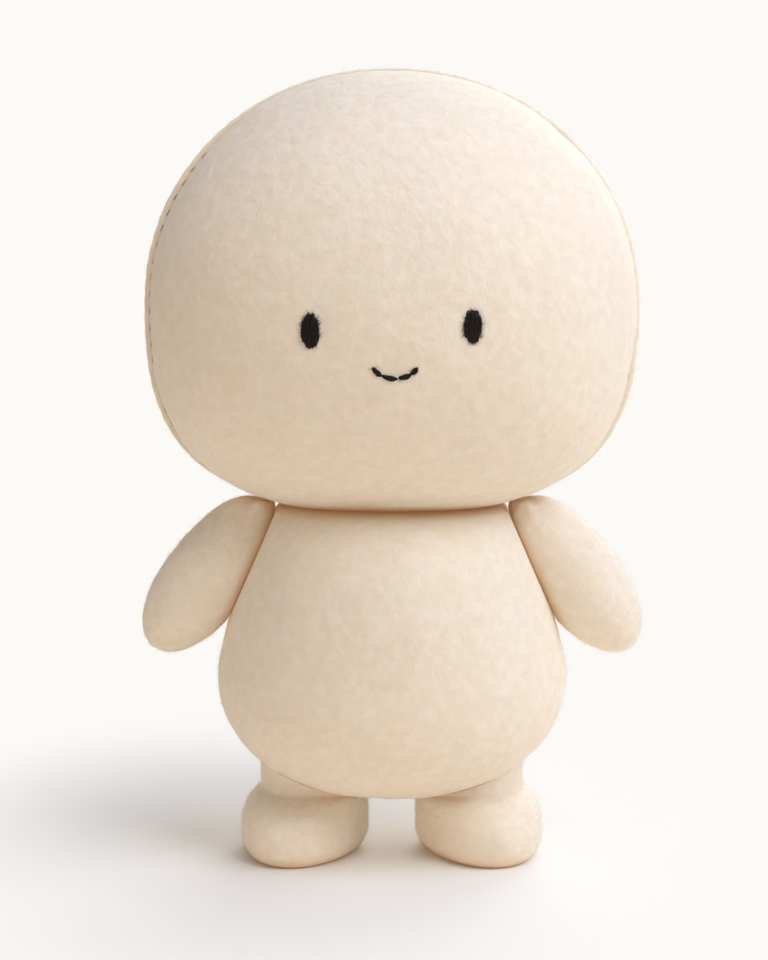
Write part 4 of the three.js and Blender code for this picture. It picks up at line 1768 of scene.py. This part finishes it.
@dataclass
class Arm(SewnPart):
    """One arm: two felt panels and the filling. Its form's own Y points to the doll's front."""

    segments: int = 48
    fibres: int = 2600
    dents: float = 0.22 * MM

    def build(self) -> None:
        """Makes the arm's felt, filling and fuzz."""
        body = Body[f"{self.side.name}_ARM"]
        free = self.form.freedom
        for keep, word in ((1, "front"), (-1, "back")):
            name = f"{body.value}_{word}_felt"
            piece, near = half_shell(name, self.segments, keep, self.form, -keep, self.finishes.felt)
            rework(piece, bmesh.ops.recalc_face_normals)
            seed = 20.0 + keep + 5 * self.side.value
            relief, fuzz = Relief(seed=seed, dents=self.dents), Fuzz(self.fibres, int(70 + seed))
            self.finish(piece, body, held(free, near), free, relief, fuzz, STUFFED_FIRMLY)
        filling(f"{body.value}_stuffing", body, self.finishes.filling, 3.0 + self.side.value)


@dataclass
class Leg(SewnPart):
    """One leg with its foot: two felt panels sewn down the toe, the sole and the filling."""

    rows: int = 90
    columns: int = 84
    fibres: int = 2800
    dents: float = 0.25 * MM
    fill: float = 0.85
    seam_depth: float = 0.05
    seam_reach: float = 0.018
    seam_turn: float = -0.2
    seam_shallow: float = 0.8
    shallow_from: Pair = (0.35, 0.6)
    tighter_right: float = 3.0
    pucker_depth: float = 0.1
    pucker_height: float = 0.16
    pucker_reach: Pair = (0.06, 0.05)
    sole_gap: float = 0.25 * MM
    sole_rounding: float = 0.3 * MM
    insole_thickness: float = 0.8 * MM
    insole_rounding: float = 0.05 * MM

    def shaped(self, square: Points, flip: int) -> tuple[Points, Points]:
        """Draws a sheet over one half of the leg, which the seam draws in, more on the right leg.

        Args:
            square: The sheet's points over the unit square.
            flip: 1 for the outer half, -1 for the inner.

        Returns:
            The places, and how near each one is to the seam.
        """
        angle = np.pi * square[:, 0] * flip + self.seam_turn * (1 - square[:, 0])
        climb = square[:, 1]
        places = self.form.place(climb, angle)
        inner = self.form.place(climb, angle, TURNED_DEPTH)
        edge = np.minimum(square[:, 0], 1 - square[:, 0])
        near = np.exp(-((edge / self.seam_reach) ** 2))
        seam = near * (1 - self.seam_shallow * smooth(climb, *self.shallow_from))
        across, along = edge / self.pucker_reach[0], (climb - self.pucker_height) / self.pucker_reach[1]
        pucker = np.exp(-(across**2)) * np.exp(-(along**2)) * (np.cos(angle) > 0)
        tight = self.tighter_right if self.side is Side.RIGHT else 1.0
        depth = tight * (self.seam_depth * seam + self.pucker_depth * pucker)
        return places + (inner - places) * depth[:, None], near

    def build(self) -> None:
        """Makes the leg's felt, sole, filling and fuzz."""
        name = f"{self.side.label}_leg"
        turn = math.radians(self.form.turned_deg)
        outside = np.array([math.cos(turn), math.sin(turn), 0])
        for flip, word in ((1, "outer"), (-1, "inner")):
            piece = as_object(grid_sheet(self.rows, self.columns), f"{name}_{word}_felt", self.finishes.felt)
            places, near = self.shaped(coordinates(piece.data), flip)
            move_to(piece.data, places + flip * outside * CLOSED_SEAM)
            if flip < 0:
                rework(piece, bmesh.ops.reverse_faces)
            seed = 30.0 + flip + 7 * self.side.value
            relief, fuzz = Relief(seed=seed, dents=self.dents), Fuzz(self.fibres, int(90 + seed))
            free = held(self.form.freedom, near)
            self.finish(piece, Body.TORSO, free, self.form.wooly, relief, fuzz, self.fill)
        self.build_plates()
        filling(f"{name}_stuffing", Body.TORSO, self.finishes.filling, 5.0 + self.side.value)

    def plate(self, inset: float, bottom: float, thickness: float, rounding: float) -> bmesh.types.BMesh:
        """A flat plate with the foot's outline.

        Args:
            inset: How far it is drawn in from the foot's widest outline.
            bottom: The height of its lower face.
            thickness: Its thickness.
            rounding: The radius of its edges.

        Returns:
            Its mesh.
        """
        form = self.form
        bm = bmesh.new()
        bmesh.ops.create_circle(bm, cap_ends=True, segments=96, radius=1)
        for v in bm.verts:
            angle = math.atan2(v.co.y, v.co.x)
            reach = (form.toe if v.co.x > 0 else form.heel) - inset
            x = np.array([reach * math.cos(angle)])
            y = np.array([(form.half_width - inset) * math.sin(angle) + form.outward])
            v.co = Vector(form.framed(x, y, np.array([bottom]))[0])
        grown = bmesh.ops.extrude_face_region(bm, geom=bm.faces[:])
        new = [g for g in grown["geom"] if isinstance(g, bmesh.types.BMVert)]
        bmesh.ops.translate(bm, verts=new, vec=(0, 0, thickness))
        bmesh.ops.recalc_face_normals(bm, faces=bm.faces[:])
        rim = [e for e in bm.edges if abs(e.verts[0].co.z - e.verts[1].co.z) < TINY]
        bmesh.ops.bevel(bm, geom=rim, offset=rounding, segments=3, profile=0.5, affect="EDGES", material=-1)
        return bm

    def build_plates(self) -> None:
        """Makes the felt sole, which the foot's felt closes round, and the card insole on it."""
        edge = self.form.edge + self.sole_gap
        sole = self.plate(edge, 0, FELT_THICKNESS, self.sole_rounding)
        inside = edge + FELT_THICKNESS + self.sole_gap
        above = FELT_THICKNESS + SEWN_GAP
        insole = self.plate(inside, above, self.insole_thickness, self.insole_rounding)
        for bm, word, look, slot, node in (
            (sole, "felt_sole", self.finishes.felt, Slot.FELT, "sole"),
            (insole, "card_insole", self.finishes.card, Slot.CARD, "insole"),
        ):
            piece = as_object(bm, f"{self.side.label}_{word}", look)
            if self.side is Side.RIGHT:
                mirrored(piece)
            settle(piece, Body.TORSO, slot, [f"{self.side.label}_{node}"])


@dataclass
class Joints:
    """The disc joints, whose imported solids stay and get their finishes."""

    finishes: Finishes

    def build(self) -> None:
        """Dresses the carried-over nodes."""
        steel = self.finishes.steel
        finish = {"disc": self.finishes.board, "washer": steel, "pin": steel}
        for name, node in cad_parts.items():
            word = name.split("_")[-1]
            if word in finish:
                node.data.materials.clear()
                node.data.materials.append(finish[word])
                log.info("%s takes %s", name, finish[word].name)


@dataclass(frozen=True)
class Lamp:
    """A soft square lamp. It faces the doll's middle, if it is given no other point."""

    name: str
    place: Triple
    size: float
    watts: float
    colour: str
    facing: Triple = (0, 0, 0.12)
    spread_deg: float = 180

    def build(self) -> None:
        """Hangs the lamp."""
        data = bpy.data.lights.new(self.name, "AREA")
        data.size, data.energy, data.spread = self.size, self.watts, math.radians(self.spread_deg)
        data.color = linear(self.colour)[:3]
        lamp = bpy.data.objects.new(self.name, data)
        lamp.location = self.place
        aim = Vector(self.facing) - Vector(self.place)
        lamp.rotation_euler = aim.to_track_quat("-Z", "Y").to_euler()
        bpy.context.scene.collection.objects.link(lamp)


@dataclass
class Studio:
    """The floor, the soft lights and the camera."""

    finishes: Finishes
    eye: Triple = (-2.4 * MM, -0.878, 0.2546)
    pitch_deg: float = 81.0
    lens: float = 110.0
    sky: str = "#FFFCF4"
    ambient: float = 0.3
    lamps: tuple[Lamp, ...] = (
        Lamp("key", (0.74, -0.74, 1.22), 0.8, 10.2, "#FCFDFF"),
        Lamp("side", (1.3, -0.1, 0.78), 0.8, 5.2, "#DCE6FF"),
        Lamp("top", (0.1, -0.2, 1.4), 0.8, 4.4, "#E2E8FF"),
        Lamp("back", (0.25, 0.9, 0.5), 0.7, 6.0, "#FFFFFF"),
        Lamp("warm_card", (-0.8, -1.1, 0.4), 0.8, 1.8, "#FFD0A4"),
        Lamp("low_card", (-0.2, -0.6, 0.04), 0.06, 0.0013, "#FFF4E6", (-0.01, -0.03, 0.006), 8),
    )

    def build(self) -> None:
        """Makes the studio."""
        bm = bmesh.new()
        bmesh.ops.create_grid(bm, x_segments=1, y_segments=1, size=6)
        floor = as_object(bm, "studio_floor", self.finishes.paper)
        self.build_world()
        for lamp in self.lamps:
            lamp.build()
        camera = bpy.data.objects.new("camera", bpy.data.cameras.new("camera"))
        camera.data.lens = self.lens
        camera.data.clip_start, camera.data.clip_end = 0.05, 20
        camera.location = self.eye
        camera.rotation_euler = (math.radians(self.pitch_deg), 0, 0)
        scene = bpy.context.scene
        scene.collection.objects.link(camera)
        scene.camera = camera
        scene.view_settings.view_transform = "Standard"

    def build_world(self) -> None:
        """Makes the light all round, behind which the plain background is seen."""
        world = bpy.data.worlds.new("soft_studio")
        bpy.context.scene.world = world
        world.use_nodes = True
        tree = world.node_tree
        seen = add_node(tree, "LightPath", {}).outputs["Is Camera Ray"]
        ends = {"To Min": self.ambient, "To Max": 1.0, "Value": seen}
        strength = add_node(tree, "MapRange", ends).outputs[0]
        colour = between(tree, seen, self.sky, PalePaper.background)
        set_up(tree, tree.nodes["Background"], {"Color": colour, "Strength": strength})


def main() -> None:
    """Builds the doll and its studio in order."""
    logging.basicConfig(level=logging.INFO, format="%(name)s: %(message)s")
    finishes = Finishes()
    torso = TorsoForm()
    head = HeadForm(torso.neck)
    arm = ArmForm(torso, head)
    Studio(finishes).build()
    Head(head, finishes).build()
    Torso(torso, finishes).build()
    for side in Side:
        Arm(arm, finishes, side).build()
        Leg(LegForm(torso), finishes, side).build()
    Joints(finishes).build()


if __name__ == "__main__":
    main()
